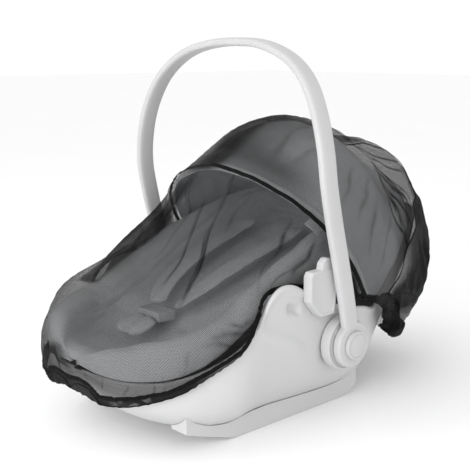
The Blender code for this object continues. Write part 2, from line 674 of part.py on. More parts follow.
def handle_rings():
    """Rings of the handle's arch from one hub to the other."""
    half = np.array(HANDLE_POINTS)
    whole = np.concatenate((half, half[-2::-1] * (-1, 1, 1)))
    smooth = np.array([read_rows(whole, place) for place in stations(0.0, len(whole) - 1.0, 8)])
    line = evenly(smooth, HANDLE_STEPS + 1)
    ahead = unit(np.gradient(line, axis=0))
    aside = unit(np.cross(ahead, (0.0, 1.0, 0.0)))
    deep = np.cross(aside, ahead)
    turns = np.linspace(0.0, 2 * np.pi, 12, endpoint=False) + np.pi / 12
    across = np.sign(np.cos(turns)) * np.abs(np.cos(turns)) ** HANDLE_SQUARENESS * HANDLE_THICK / 2
    along = np.sign(np.sin(turns)) * np.abs(np.sin(turns)) ** HANDLE_SQUARENESS * HANDLE_DEPTH / 2
    return np.stack([line + aside * a + deep * b for a, b in zip(across, along)], axis=1)


def build_handle(plastic):
    """The carrying handle: its arch joined to a disc at each end, turning about the hub's axis."""
    handle = tube_part("handle", handle_rings(), plastic)
    inner_x = HANDLE_POINTS[0][0] - HANDLE_THICK / 2 + DISC_INSET
    outer_x = HANDLE_POINTS[0][0] + HANDLE_THICK / 2 - DISC_INSET
    for side in (1, -1):
        disc = tube_part("hub_disc", disc_rings(side, inner_x, outer_x, HUB_RADIUS, DISC_ROUNDING), plastic)
        join = handle.modifiers.new("join", "BOOLEAN")
        join.operation = "UNION"
        join.solver = "EXACT"
        join.object = disc
        bpy.context.view_layer.objects.active = handle
        bpy.ops.object.modifier_apply(modifier=join.name)
        bpy.data.objects.remove(disc)
    turn_on_hub(handle)


def build_tapes(drawn, tape):
    """The tapes and the elastic sewn on the net."""
    for strip in TAPES:
        route = [(strip.station, over) for over in np.linspace(strip.first_over, strip.last_over, strip.steps)]
        tube_part(strip.name, tape_rings(drawn, route, strip.half_width), tape)
    route = edge_route(ELASTIC_PLACES, ELASTIC_TOE_STATION, 2)
    tube_part("front_hem_elastic", tape_rings(drawn, route, ELASTIC_HALF_WIDTH), tape)


def build_gather(drawn, cloth):
    """The bunched hem behind the head, a crinkled roll on the net's lower edge."""
    middle_places = [(s, tall / 2) for s, tall in GATHER_PLACES]
    route = edge_route(middle_places, GATHER_END_STATION, 4)
    middle, normal, aside = route_frame(drawn, route)
    tall = np.interp([s for s, _ in route], *zip(*GATHER_PLACES))[:, None]
    share = np.linspace(0.0, 1.0, len(route))[:, None]
    wave = 1.0 + GATHER_CRINKLE / GATHER_THICK * np.sin(2 * np.pi * GATHER_CRINKLES * share)
    thick = np.minimum(GATHER_THICK, 0.5 * tall) * wave
    base = middle + normal * TAPE_GAP
    rings = [base + aside * tall / 2 * across + normal * thick * out for across, out in GATHER_OUTLINE]
    tube_part("rear_hem_gather", np.stack(rings, axis=1), cloth)


def build_all():
    """Builds every part."""
    clear_scene()
    shell_plastic = finish_material("shell_plastic", SHELL_GREY, 0.45)
    handle_plastic = finish_material("handle_plastic", HANDLE_GREY, 0.40)
    padding = finish_material("liner_cloth", LINER_GREY, 0.90)
    net = finish_material("net_cloth", NET_BLACK, 0.85)
    tape = finish_material("net_tape", NET_BLACK, 0.80)
    build_shell(shell_plastic)
    build_runners(shell_plastic)
    build_towers(shell_plastic)
    build_hubs(shell_plastic, handle_plastic)
    build_handle(handle_plastic)
    build_liner(padding)
    build_harness(padding, shell_plastic)
    build_hood(padding, shell_plastic)
    drawn = draw_net()
    build_net(drawn, net)
    build_tapes(drawn, tape)
    build_gather(drawn, net)


build_all()
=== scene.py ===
"""The looks of a fine insect net stretched over an infant carrier seat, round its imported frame.

Lengths are in metres, the foot end points towards -Y and +Z is up. The cloth of the net and the
hood is drawn from tables of cross sections that fan round the hood's pivots, as on the solids.
"""

import logging
import math
from dataclasses import dataclass, field
from enum import Enum
from typing import Any, Mapping, Sequence

import bpy
import numpy as np
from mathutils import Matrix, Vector


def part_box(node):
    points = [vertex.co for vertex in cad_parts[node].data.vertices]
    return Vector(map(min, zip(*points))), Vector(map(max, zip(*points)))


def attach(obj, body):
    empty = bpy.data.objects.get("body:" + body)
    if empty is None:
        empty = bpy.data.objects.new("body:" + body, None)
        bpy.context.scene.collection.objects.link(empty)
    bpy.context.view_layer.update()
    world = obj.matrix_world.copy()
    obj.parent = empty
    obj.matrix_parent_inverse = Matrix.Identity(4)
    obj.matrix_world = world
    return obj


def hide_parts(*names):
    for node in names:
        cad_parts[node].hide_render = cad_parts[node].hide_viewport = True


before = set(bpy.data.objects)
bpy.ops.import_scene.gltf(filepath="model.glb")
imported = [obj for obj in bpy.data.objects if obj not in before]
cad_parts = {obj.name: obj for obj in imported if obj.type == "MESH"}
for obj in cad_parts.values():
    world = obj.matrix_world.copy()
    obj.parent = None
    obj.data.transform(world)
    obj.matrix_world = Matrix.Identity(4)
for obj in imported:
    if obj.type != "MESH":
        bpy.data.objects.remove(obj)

Colour = tuple[float, float, float]
Rows = Sequence[Sequence[float]]
Part = bpy.types.Object
Material = bpy.types.Material

LOG = logging.getLogger("net")
MIDDLE_Y = 0.0433  # the drawing's y that lies over the row's origin
CARRIER = "carrier"
HANDLE = "handle"
SMOOTH_ANGLE = math.radians(40)  # faces that meet at less are shaded as one
FROM_START = (-2.0, -1.0)  # the edges of a fade that is full from the start
TO_END = (40.0, 41.0)  # and of one that stays full to the end


class Side(Enum):
    """The two sides of the carrier: the near one points towards +X."""

    NEAR = 1
    FAR = -1

    @property
    def word(self) -> str:
        """The side's name as the nodes write it."""
        return self.name.lower()

    @property
    def outward(self) -> Vector:
        """The way out of the carrier on this side."""
        return Vector((self.value, 0, 0))


# Drawing


def curve_through(rows: Rows, places: np.ndarray) -> np.ndarray:
    """Reads all columns of a table at places between its rows, on a smooth curve.

    Args:
        rows: the table, a row per section.
        places: row numbers, whole or not.

    Returns:
        One row of values for each place.
    """
    table = np.asarray(rows, dtype=float)
    ends = (2 * table[0] - table[1], 2 * table[-1] - table[-2])
    padded = np.concatenate((ends[:1], table, ends[1:]))
    lower = np.clip(np.floor(places).astype(int), 0, len(table) - 2)
    t = (np.asarray(places, dtype=float) - lower)[:, None]
    before, here, there, after = (padded[lower + step] for step in range(4))
    bend = (2 * t**3 - 3 * t**2 + 1) * here + (3 * t**2 - 2 * t**3) * there
    return bend + (t**3 - 2 * t**2 + t) * (there - before) / 2 + (t**3 - t**2) * (after - here) / 2


def evenly(points: np.ndarray, count: int) -> np.ndarray:
    """Spreads points evenly along the same line.

    Args:
        points: the line.
        count: how many points are wanted.

    Returns:
        The new points, with the same first and last one.
    """
    along = path_length(points)
    wanted = np.linspace(0.0, along[-1], count)
    return np.stack([np.interp(wanted, along, points[:, axis]) for axis in range(3)], axis=1)


def path_length(points: np.ndarray) -> np.ndarray:
    """The distance along a line at each of its points."""
    steps = np.linalg.norm(np.diff(points, axis=0), axis=1)
    return np.concatenate(([0.0], np.cumsum(steps)))


def row_lengths(grid: np.ndarray) -> np.ndarray:
    """The length of each row of a grid."""
    return np.linalg.norm(np.diff(grid, axis=1), axis=2).sum(axis=1)


def runs_down(grid: np.ndarray) -> np.ndarray:
    """How far each point of a grid is from its first row, along the surface."""
    steps = np.linalg.norm(np.diff(grid, axis=0), axis=2)
    return np.concatenate((np.zeros((1, grid.shape[1])), np.cumsum(steps, axis=0)))


def unit(vectors: np.ndarray) -> np.ndarray:
    """Vectors at length one."""
    return vectors / np.maximum(np.linalg.norm(vectors, axis=-1, keepdims=True), 1e-12)


def grid_normals(grid: np.ndarray) -> np.ndarray:
    """Unit normals of a grid of points: outward on an arch, inward on a bucket."""
    return unit(np.cross(np.gradient(grid, axis=0), np.gradient(grid, axis=1)))


def soft_step(value: np.ndarray, low: float, high: float) -> np.ndarray:
    """Rises smoothly from 0 at low to 1 at high."""
    t = np.clip((value - low) / (high - low), 0.0, 1.0)
    return t * t * (3 - 2 * t)


def fade(value: np.ndarray, start: float, full: float, last: float, end: float) -> np.ndarray:
    """Rises smoothly from 0 at start to 1 at full, and falls from 1 at last to 0 at end."""
    return soft_step(value, start, full) * (1 - soft_step(value, last, end))


def bell(value: np.ndarray, width: float, power: float = 2) -> np.ndarray:
    """Falls from 1 at 0 to nothing past a width, with a flatter top for a higher power."""
    return np.exp(-((value / width) ** power))


def squared(value: np.ndarray, power: float) -> np.ndarray:
    """Fills out a sine or cosine towards a square one, and keeps its sign."""
    return np.sign(value) * np.abs(value) ** power


def ripple(
    points: np.ndarray, wavelength: float, seed: float, stretch: Sequence[float] = (1, 1, 1)
) -> np.ndarray:
    """An uneven, repeatable waviness of about -1 to 1 over points in space.

    Args:
        points: an array whose last axis is x, y and z.
        wavelength: the distance between crests.
        seed: sets the pattern apart from others.
        stretch: how much longer the waves are along each axis.

    Returns:
        One value for each point.
    """
    scaled = points / (np.asarray(stretch, dtype=float) * wavelength) * 2 * math.pi
    total = np.zeros(points.shape[:-1])
    for turn in range(5):
        angle = seed * 1.7 + turn * 2.399
        tilt = 0.9 * math.sin(seed + turn * 1.3)
        way = np.array((math.cos(angle), math.sin(angle), tilt)) * (0.7 + 0.17 * turn)
        total += np.sin(scaled @ way + seed * 5.1 + turn * 1.9)
    return total / 2.6


def arch(row: Sequence[float], count: int) -> np.ndarray:
    """Draws one section of the net or hood, from the near hem over the spine to the far hem.

    Args:
        row: spine y and z, hem x, y and z, side, crown, swell and reach.
        count: the number of points.

    Returns:
        The section's points.
    """
    spine_y, spine_z, hem_x, hem_y, hem_z, side, crown, swell, reach = row
    turn = np.linspace(0.0, np.pi, 481)
    rise = np.sin(turn).clip(0.0) ** (2 / side)
    width = squared(np.cos(turn), 2 / crown)
    belly = 4 * rise * (1 - rise)
    across = width * hem_x + np.sign(np.cos(turn)) * belly * swell
    along = hem_y + (spine_y - hem_y) * rise + belly * reach
    height = hem_z + (spine_z - hem_z) * rise
    return evenly(np.stack((across, along, height), axis=1), count)


# Meshes


def grid_faces(rows: int, columns: int, flip: bool = False, wrap: bool = False) -> np.ndarray:
    """Quads between the points of a grid.

    Args:
        rows: rows of points.
        columns: points in a row.
        flip: turns the faces round.
        wrap: joins the last column to the first.

    Returns:
        Four point numbers for each face.
    """
    i, j = np.meshgrid(np.arange(rows - 1), np.arange(columns if wrap else columns - 1), indexing="ij")
    k = (j + 1) % columns
    quads = (i * columns + j, (i + 1) * columns + j, (i + 1) * columns + k, i * columns + k)
    faces = np.stack([quad.ravel() for quad in quads], axis=1)
    return faces[:, ::-1] if flip else faces


def make_part(name: str, points: np.ndarray, faces: Sequence[Sequence[int]]) -> Part:
    """Makes an object of points and faces, moved from the drawing into the row's frame.

    Args:
        name: the part's name.
        points: its points, in the drawing.
        faces: the point numbers of each face.

    Returns:
        The part, smooth shaded.
    """
    mesh = bpy.data.meshes.new(name)
    placed = np.asarray(points, dtype=float).reshape(-1, 3) - np.array((0.0, MIDDLE_Y, 0.0))
    mesh.from_pydata(placed.tolist(), [], [list(face) for face in faces])
    mesh.polygons.foreach_set("use_smooth", [True] * len(mesh.polygons))
    mesh.update()
    part = bpy.data.objects.new(name, mesh)
    bpy.context.scene.collection.objects.link(part)
    return part


def lay_map(part: Part, u: np.ndarray, v: np.ndarray) -> None:
    """Gives a part its cloth map, in metres.

    Args:
        part: a part whose points are those of a grid, once or twice over.
        u: how far each point of the grid is across the cloth.
        v: how far each is along it.
    """
    flat = np.stack((u.ravel(), v.ravel()), axis=1)
    corner = np.zeros(len(part.data.loops), dtype=np.int64)
    part.data.loops.foreach_get("vertex_index", corner)
    layer = part.data.uv_layers.new(name="cloth")
    layer.data.foreach_set("uv", flat[corner % len(flat)].astype(np.float32).ravel())


def mark(part: Part, name: str, values: np.ndarray) -> None:
    """Writes a value for each point of a part, for its finish to read."""
    layer = part.data.attributes.new(name, "FLOAT", "POINT")
    layer.data.foreach_set("value", np.resize(values.ravel(), len(part.data.vertices)).astype(np.float32))


def sheet_part(
    name: str, outer: np.ndarray, thickness: float = 0.0, inward: np.ndarray | None = None
) -> Part:
    """Makes an open sheet, or a closed one with a thickness, from a grid whose normals point out.

    Args:
        name: the part's name.
        outer: the grid of its outer face.
        thickness: 0 for an open sheet.
        inward: the way to its inner face at each point.

    Returns:
        The part.
    """
    rows, columns = outer.shape[:2]
    if not thickness:
        return make_part(name, outer, grid_faces(rows, columns))
    inner = outer + inward * thickness
    count = rows * columns
    front, back = grid_faces(rows, columns), grid_faces(rows, columns, flip=True) + count
    rim = []
    for line, turned in rim_lines(rows, columns):
        for a, b in zip(line[:-1], line[1:]):
            quad = (a, b, b + count, a + count)
            rim.append(quad[::-1] if turned else quad)
    points = np.concatenate((outer.reshape(-1, 3), inner.reshape(-1, 3)))
    return make_part(name, points, [*front.tolist(), *back.tolist(), *rim])


def rim_lines(rows: int, columns: int) -> list[tuple[list[int], bool]]:
    """The four edges of a grid.

    Args:
        rows: rows of points.
        columns: points in a row.

    Returns:
        The point numbers of each edge, and whether a rim face along it is turned round.
    """
    top = list(range(columns))
    bottom = [(rows - 1) * columns + j for j in range(columns)]
    left = [i * columns for i in range(rows)]
    right = [i * columns + columns - 1 for i in range(rows)]
    return [(top, False), (bottom, True), (left, True), (right, False)]


def loft_part(name: str, rings: np.ndarray) -> Part:
    """Makes a closed solid through rings of points.

    Args:
        name: the part's name.
        rings: its rings, with as many points each.

    Returns:
        The part.
    """
    count, sides = rings.shape[:2]
    first, last = list(range(sides)), [(count - 1) * sides + j for j in range(sides)]
    return make_part(name, rings, [*grid_faces(count, sides, wrap=True).tolist(), first, last[::-1]])


def cloth_loft(name: str, rings: np.ndarray) -> Part:
    """Makes a closed solid of cloth through rings of points, with its cloth map.

    Args:
        name: the part's name.
        rings: its rings, with as many points each.

    Returns:
        The part.
    """
    part = loft_part(name, rings)
    along = np.repeat(path_length(rings.mean(axis=1))[:, None], rings.shape[1], axis=1)
    closed = np.concatenate((rings, rings[:, :1]), axis=1)
    lay_map(part, along, runs_down(closed.transpose(1, 0, 2)).T[:, :-1])
    return part


def line_frame(line: np.ndarray, up: Sequence[float]) -> tuple[np.ndarray, np.ndarray]:
    """The sideways and upward directions along a line.

    Args:
        line: its points.
        up: the way that is roughly upward.

    Returns:
        Two directions for each point.
    """
    ahead = unit(np.gradient(line, axis=0))
    aside = unit(np.cross(ahead, up))
    return aside, unit(np.cross(aside, ahead))


def tube(line: np.ndarray, radius: np.ndarray, sides: int, up: Sequence[float]) -> np.ndarray:
    """Rings of a round tube along a line.

    Args:
        line: its middle.
        radius: its radius at each point.
        sides: points in a ring.
        up: the way that is roughly upward.

    Returns:
        The rings.
    """
    aside, above = line_frame(line, up)
    turns = np.arange(sides) * 2 * np.pi / sides
    reach = radius[:, None]
    return np.stack([line + reach * (aside * math.cos(t) + above * math.sin(t)) for t in turns], axis=1)


def only(part: Part) -> None:
    """Selects one part and nothing else.

    Args:
        part: the part.
    """
    bpy.ops.object.select_all(action="DESELECT")
    part.select_set(True)
    bpy.context.view_layer.objects.active = part


def place_in_mesh(part: Part) -> None:
    """Puts a part's place, turn and size into its mesh."""
    only(part)
    bpy.ops.object.transform_apply(location=True, rotation=True, scale=True)


def apply_modifiers(part: Part) -> None:
    """Applies all modifiers of a part.

    Args:
        part: the part.
    """
    only(part)
    for modifier in list(part.modifiers):
        bpy.ops.object.modifier_apply(modifier=modifier.name)


def soften_edges(part: Part, width: float, angle: float = 30.0) -> None:
    """Bevels a part's hard edges, and shades it.

    Args:
        part: the part.
        width: the bevel's width.
        angle: the least angle in degrees of an edge that is bevelled.
    """
    bevel = part.modifiers.new("soft edges", "BEVEL")
    bevel.width, bevel.segments, bevel.limit_method = width, 3, "ANGLE"
    bevel.angle_limit = math.radians(angle)
    apply_modifiers(part)
    bpy.ops.object.shade_smooth_by_angle(angle=SMOOTH_ANGLE)


def sink_rings(part: Part, outward: Vector, steps: Rows) -> None:
    """Insets the faces that point one way, and moves them in or out, ring by ring.

    Args:
        part: the part.
        outward: the way that the faces point.
        steps: the inset of each ring, and how far out it is moved.
    """
    only(part)
    bpy.ops.object.mode_set(mode="EDIT")
    bpy.ops.mesh.select_mode(type="FACE")
    bpy.ops.mesh.select_all(action="DESELECT")
    bpy.ops.object.mode_set(mode="OBJECT")
    for face in part.data.polygons:
        face.select = face.normal.dot(outward) > 0.9
    bpy.ops.object.mode_set(mode="EDIT")
    for inset, out in steps:
        bpy.ops.mesh.inset(thickness=inset)
        bpy.ops.mesh.extrude_region_move(TRANSFORM_OT_translate={"value": tuple(outward * out)})
    bpy.ops.object.mode_set(mode="OBJECT")


def add_box(middle: Sequence[float], size: Sequence[float]) -> Part:
    """Adds a box to be shaped.

    Args:
        middle: its middle.
        size: its lengths along the axes.

    Returns:
        The box.
    """
    bpy.ops.object.select_all(action="DESELECT")
    bpy.ops.mesh.primitive_cube_add(size=1.0, location=middle)
    part = bpy.context.active_object
    part.scale = size
    place_in_mesh(part)
    return part


def add_disc(middle: Sequence[float], radius: float, depth: float) -> Part:
    """Adds a disc to be shaped, whose axis runs across the carrier.

    Args:
        middle: its middle.
        radius: its radius.
        depth: its thickness.

    Returns:
        The disc.
    """
    bpy.ops.object.select_all(action="DESELECT")
    bpy.ops.mesh.primitive_cylinder_add(
        vertices=72, radius=radius, depth=depth, location=middle, rotation=(0, math.pi / 2, 0)
    )
    part = bpy.context.active_object
    place_in_mesh(part)
    return part


# Materials


class Wire:
    """A value in a material that takes part in sums, so that Python expressions build its nodes."""

    def __init__(self, graph: "Graph", socket: bpy.types.NodeSocket) -> None:
        """Wraps one output socket."""
        self.graph, self.socket = graph, socket

    def __add__(self, other: Any) -> "Wire":
        """Sum."""
        return self.graph.maths("ADD", self, other)

    def __radd__(self, other: Any) -> "Wire":
        """Sum."""
        return self.graph.maths("ADD", other, self)

    def __sub__(self, other: Any) -> "Wire":
        """Difference."""
        return self.graph.maths("SUBTRACT", self, other)

    def __rsub__(self, other: Any) -> "Wire":
        """Difference."""
        return self.graph.maths("SUBTRACT", other, self)

    def __mul__(self, other: Any) -> "Wire":
        """Product."""
        return self.graph.maths("MULTIPLY", self, other)

    def __rmul__(self, other: Any) -> "Wire":
        """Product."""
        return self.graph.maths("MULTIPLY", other, self)

    def __truediv__(self, other: Any) -> "Wire":
        """Quotient."""
        return self.graph.maths("DIVIDE", self, other)


class Graph:
    """A material's nodes, with one method for each kind of step."""

    def __init__(self, name: str) -> None:
        """Starts a material with its Principled shader.

        Args:
            name: the material's name.
        """
        self.material = bpy.data.materials.new(name)
        self.material.use_nodes = True
        self.tree = self.material.node_tree
        self.shader = self.tree.nodes["Principled BSDF"]

    def feed(self, socket: bpy.types.NodeSocket, value: Any) -> None:
        """Links a wire or socket to a socket, or sets its value.

        Args:
            socket: the input.
            value: a wire, an output or a plain value.
        """
        if isinstance(value, Wire):
            value = value.socket
        if isinstance(value, bpy.types.NodeSocket):
            self.tree.links.new(value, socket)
        else:
            socket.default_value = value

    def node(
        self, kind: str, settings: Mapping[str, Any] | None = None, sockets: Mapping[Any, Any] | None = None
    ) -> Any:
        """Adds a node.

        Args:
            kind: the node's type.
            settings: its own settings, set first.
            sockets: values or links of its inputs.

        Returns:
            The node.
        """
        made = self.tree.nodes.new(kind)
        for key, value in (settings or {}).items():
            setattr(made, key, value)
        for key, value in (sockets or {}).items():
            self.feed(made.inputs[key], value)
        return made

    def maths(self, operation: str, *values: Any) -> Wire:
        """Adds a Math node."""
        made = self.node("ShaderNodeMath", {"operation": operation}, dict(enumerate(values)))
        return Wire(self, made.outputs[0])

    def attribute(self, name: str) -> Wire:
        """A value that the part's points carry."""
        return Wire(self, self.node("ShaderNodeAttribute", {"attribute_name": name}).outputs["Fac"])

    def step(self, value: Wire, low: float, high: float) -> Wire:
        """Rises smoothly from 0 at low to 1 at high.

        Args:
            value: what is read.
            low: where the rise starts.
            high: where it ends.

        Returns:
            The share of the rise.
        """
        settings = {"interpolation_type": "SMOOTHSTEP"}
        made = self.node("ShaderNodeMapRange", settings, {"Value": value, "From Min": low, "From Max": high})
        return Wire(self, made.outputs["Result"])

    def cloth_map(self) -> tuple[Wire, Wire]:
        """Reads the part's cloth map.

        Returns:
            The distances across and along the cloth, in metres.
        """
        place = self.node("ShaderNodeUVMap", {"uv_map": "cloth"})
        parts = self.node("ShaderNodeSeparateXYZ", None, {0: place.outputs["UV"]})
        return Wire(self, parts.outputs[0]), Wire(self, parts.outputs[1])

    def noise(self, scale: float, detail: float = 3.0) -> Wire:
        """Noise over the part's own coordinates.

        Args:
            scale: how many lumps there are to the metre.
            detail: how many finer layers it has.

        Returns:
            A value of about 0 to 1.
        """
        place = self.node("ShaderNodeTexCoord")
        sockets = {"Vector": place.outputs["Object"], "Scale": scale, "Detail": detail}
        return Wire(self, self.node("ShaderNodeTexNoise", None, sockets).outputs["Fac"])

    def blend(self, amount: Wire, low: Colour | bpy.types.NodeSocket, high: Colour) -> bpy.types.NodeSocket:
        """A colour between two.

        Args:
            amount: how much there is of the second.
            low: the first colour, or an output that has it.
            high: the second.

        Returns:
            The colour's output.
        """
        first = (*low, 1.0) if isinstance(low, tuple) else low
        made = self.node("ShaderNodeMix", {"data_type": "RGBA"}, {0: amount, 6: first, 7: (*high, 1.0)})
        return made.outputs[2]

    def bump(self, height: Wire, distance: float, strength: float) -> None:
        """Feeds a bump to the shader's normal."""
        sockets = {"Strength": strength, "Distance": distance, "Height": height}
        self.feed(self.shader.inputs["Normal"], self.node("ShaderNodeBump", None, sockets).outputs[0])

    def dress(self, **sockets: Any) -> None:
        """Feeds the shader's sockets, whose names are written with _ for a space."""
        for key, value in sockets.items():
            self.feed(self.shader.inputs[key.replace("_", " ")], value)


def shade(colour: Colour, factor: float) -> Colour:
    """A colour made lighter or darker."""
    return tuple(min(1.0, channel * factor) for channel in colour)


@dataclass(frozen=True)
class NetFinish:
    """Fine black mesh whose open share falls where the cloth is bunched and where painted shade lies."""

    name: str = "net_cloth"
    thread: Colour = (0.0035, 0.0035, 0.004)
    # Lighter tone laid in patches by noise: a painted highlight on the lumps of the cloth
    crest: Colour = (0.010, 0.010, 0.011)
    pitch: float = 0.0017
    thread_width: float = 0.00042
    edge: float = 0.00016
    film: float = 0.13

    def material(self) -> Material:
        """Builds the material.

        Returns:
            The material.
        """
        graph = Graph(self.name)
        across, along = graph.cloth_map()
        weave = graph.maths("MAXIMUM", self.threads(graph, across), self.threads(graph, along))
        hold = self.film + (1 - self.film) * weave
        # The attribute closes the mesh where the cloth is bunched and where painted shade is laid
        alpha = 1 - (1 - hold) * (1 - graph.attribute("bunch"))
        # Threads lightened in noise patches: painted highlight
        tone = graph.blend(graph.step(graph.noise(26.0), 0.35, 0.7), self.thread, self.crest)
        graph.dress(Base_Color=tone, Alpha=alpha, Roughness=0.78 + 0.12 * graph.noise(60.0))
        graph.dress(Sheen_Weight=0.02, Sheen_Roughness=0.5, Specular_IOR_Level=0.06)
        graph.bump(weave, 0.0002, 0.35)
        return graph.material

    def threads(self, graph: Graph, along: Wire) -> Wire:
        """One set of threads.

        Args:
            graph: the material's nodes.
            along: the distance across the threads.

        Returns:
            1 on a thread and 0 in a hole.
        """
        away = graph.maths("ABSOLUTE", graph.maths("FRACT", along / self.pitch) - 0.5)
        half = self.thread_width / 2 / self.pitch
        soft = self.edge / self.pitch
        return graph.step(away, 0.5 - half - soft, 0.5 - half + soft)


@dataclass(frozen=True)
class TapeFinish:
    """Black woven tape with fine ribs across it."""

    name: str
    low: Colour = (0.0015, 0.0015, 0.0018)
    high: Colour = (0.007, 0.007, 0.0075)
    rib: float = 0.0011

    def material(self) -> Material:
        """Builds the material.

        Returns:
            The material.
        """
        graph = Graph(self.name)
        along, around = graph.cloth_map()
        wave = graph.maths("SINE", along * (2 * math.pi / self.rib)) * 0.5 + 0.5
        twill = graph.maths("SINE", (along + around) * (math.pi / self.rib)) * 0.5 + 0.5
        height = wave * 0.7 + twill * 0.3
        worn = graph.step(graph.noise(90.0), 0.4, 0.75)
        graph.dress(Base_Color=graph.blend(height * 0.5 + worn * 0.5, self.low, self.high))
        graph.dress(Roughness=0.72 + 0.2 * worn, Sheen_Weight=0.02, Specular_IOR_Level=0.09)
        graph.bump(height, 0.0004, 0.5)
        return graph.material


@dataclass(frozen=True)
class PlasticFinish:
    """Moulded plastic with a fine grain."""

    name: str
    colour: Colour
    gloss: float = 0.42
    grain: float = 900.0

    def material(self) -> Material:
        """Builds the material.

        Returns:
            The material.
        """
        graph = Graph(self.name)
        cloudy = graph.noise(14.0, 4.0)
        fine = graph.noise(self.grain, 2.0)
        tone = graph.blend(cloudy * 0.8 + fine * 0.2, shade(self.colour, 0.96), shade(self.colour, 1.04))
        graph.dress(Base_Color=tone)
        graph.dress(Roughness=self.gloss - 0.07 + 0.14 * cloudy, Specular_IOR_Level=0.4)
        graph.bump(fine, 0.00012, 0.35)
        return graph.material


@dataclass(frozen=True)
class ClothFinish:
    """Plain woven cloth, lightened by a factor where a part is marked inside, as painted light."""

    name: str
    colour: Colour
    yarn: float = 0.0011
    # How much lighter the parts marked inside are: painted light
    painted_light_factor: float = 1.0

    def material(self) -> Material:
        """Builds the material.

        Returns:
            The material.
        """
        graph = Graph(self.name)
        across, along = graph.cloth_map()
        turn = math.pi / self.yarn
        warp = graph.maths("ABSOLUTE", graph.maths("SINE", across * turn))
        weft = graph.maths("ABSOLUTE", graph.maths("SINE", along * turn))
        check = graph.maths("SINE", across * turn / 2) * graph.maths("SINE", along * turn / 2)
        over = graph.maths("GREATER_THAN", check, 0.0)
        weave = warp * over + weft * (1 - over)
        cloudy = graph.noise(22.0, 4.0)
        worn = weave * 0.45 + cloudy * 0.55
        tone = graph.blend(worn, shade(self.colour, 0.88), shade(self.colour, 1.06))
        # Marked faces are blended towards a paler copy of the colour: painted light
        if self.painted_light_factor != 1.0:
            tone = graph.blend(graph.attribute("inside"), tone, shade(self.colour, self.painted_light_factor))
        graph.dress(Base_Color=tone)
        graph.dress(Roughness=0.86 + 0.1 * cloudy, Sheen_Weight=0.2, Specular_IOR_Level=0.2)
        graph.bump(weave + cloudy * 0.4, 0.0004, 0.4)
        return graph.material


def finish(part: Part, material: Material, slot: str, body: str, *nodes: str) -> Part:
    """Gives a piece its material, its body and the nodes that it stands for.

    Args:
        part: the piece.
        material: its finish.
        slot: the record's material slot.
        body: the body that it rides on.
        nodes: the nodes that it replaces.

    Returns:
        The piece.
    """
    if nodes:
        part.name = part.data.name = f"{nodes[0]}_made"
    part.data.materials.clear()
    part.data.materials.append(material)
    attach(part, body)
    if nodes:
        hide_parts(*nodes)
    LOG.info("%s: %d faces, slot %s, body %s", part.name, len(part.data.polygons), slot, body)
    return part


def keep_node(name: str, material: Material) -> None:
    """Gives a solid of the frame a better material.

    Args:
        name: its node.
        material: its finish.
    """
    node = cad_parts[name]
    if not node.material_slots:
        node.data.materials.append(material)
    for place in node.material_slots:
        place.material = material


@dataclass(frozen=True)
class Span:
    """The cloth that one panel was cut from: its width, length and area."""

    width: float
    length: float
    area: float


def cut_size(panel: Part, lengths: np.ndarray, along: np.ndarray, layers: int) -> Span:
    """Measures the cloth that a panel was cut from.

    Args:
        panel: the piece.
        lengths: the length of each of its sections.
        along: how far each of its points is from its first section.
        layers: how many faces it has one over another.

    Returns:
        Its flat size.
    """
    area = sum(face.area for face in panel.data.polygons) / layers
    return Span(lengths.max(), max(along[-1].max(), area / lengths.max()), area)


# The net


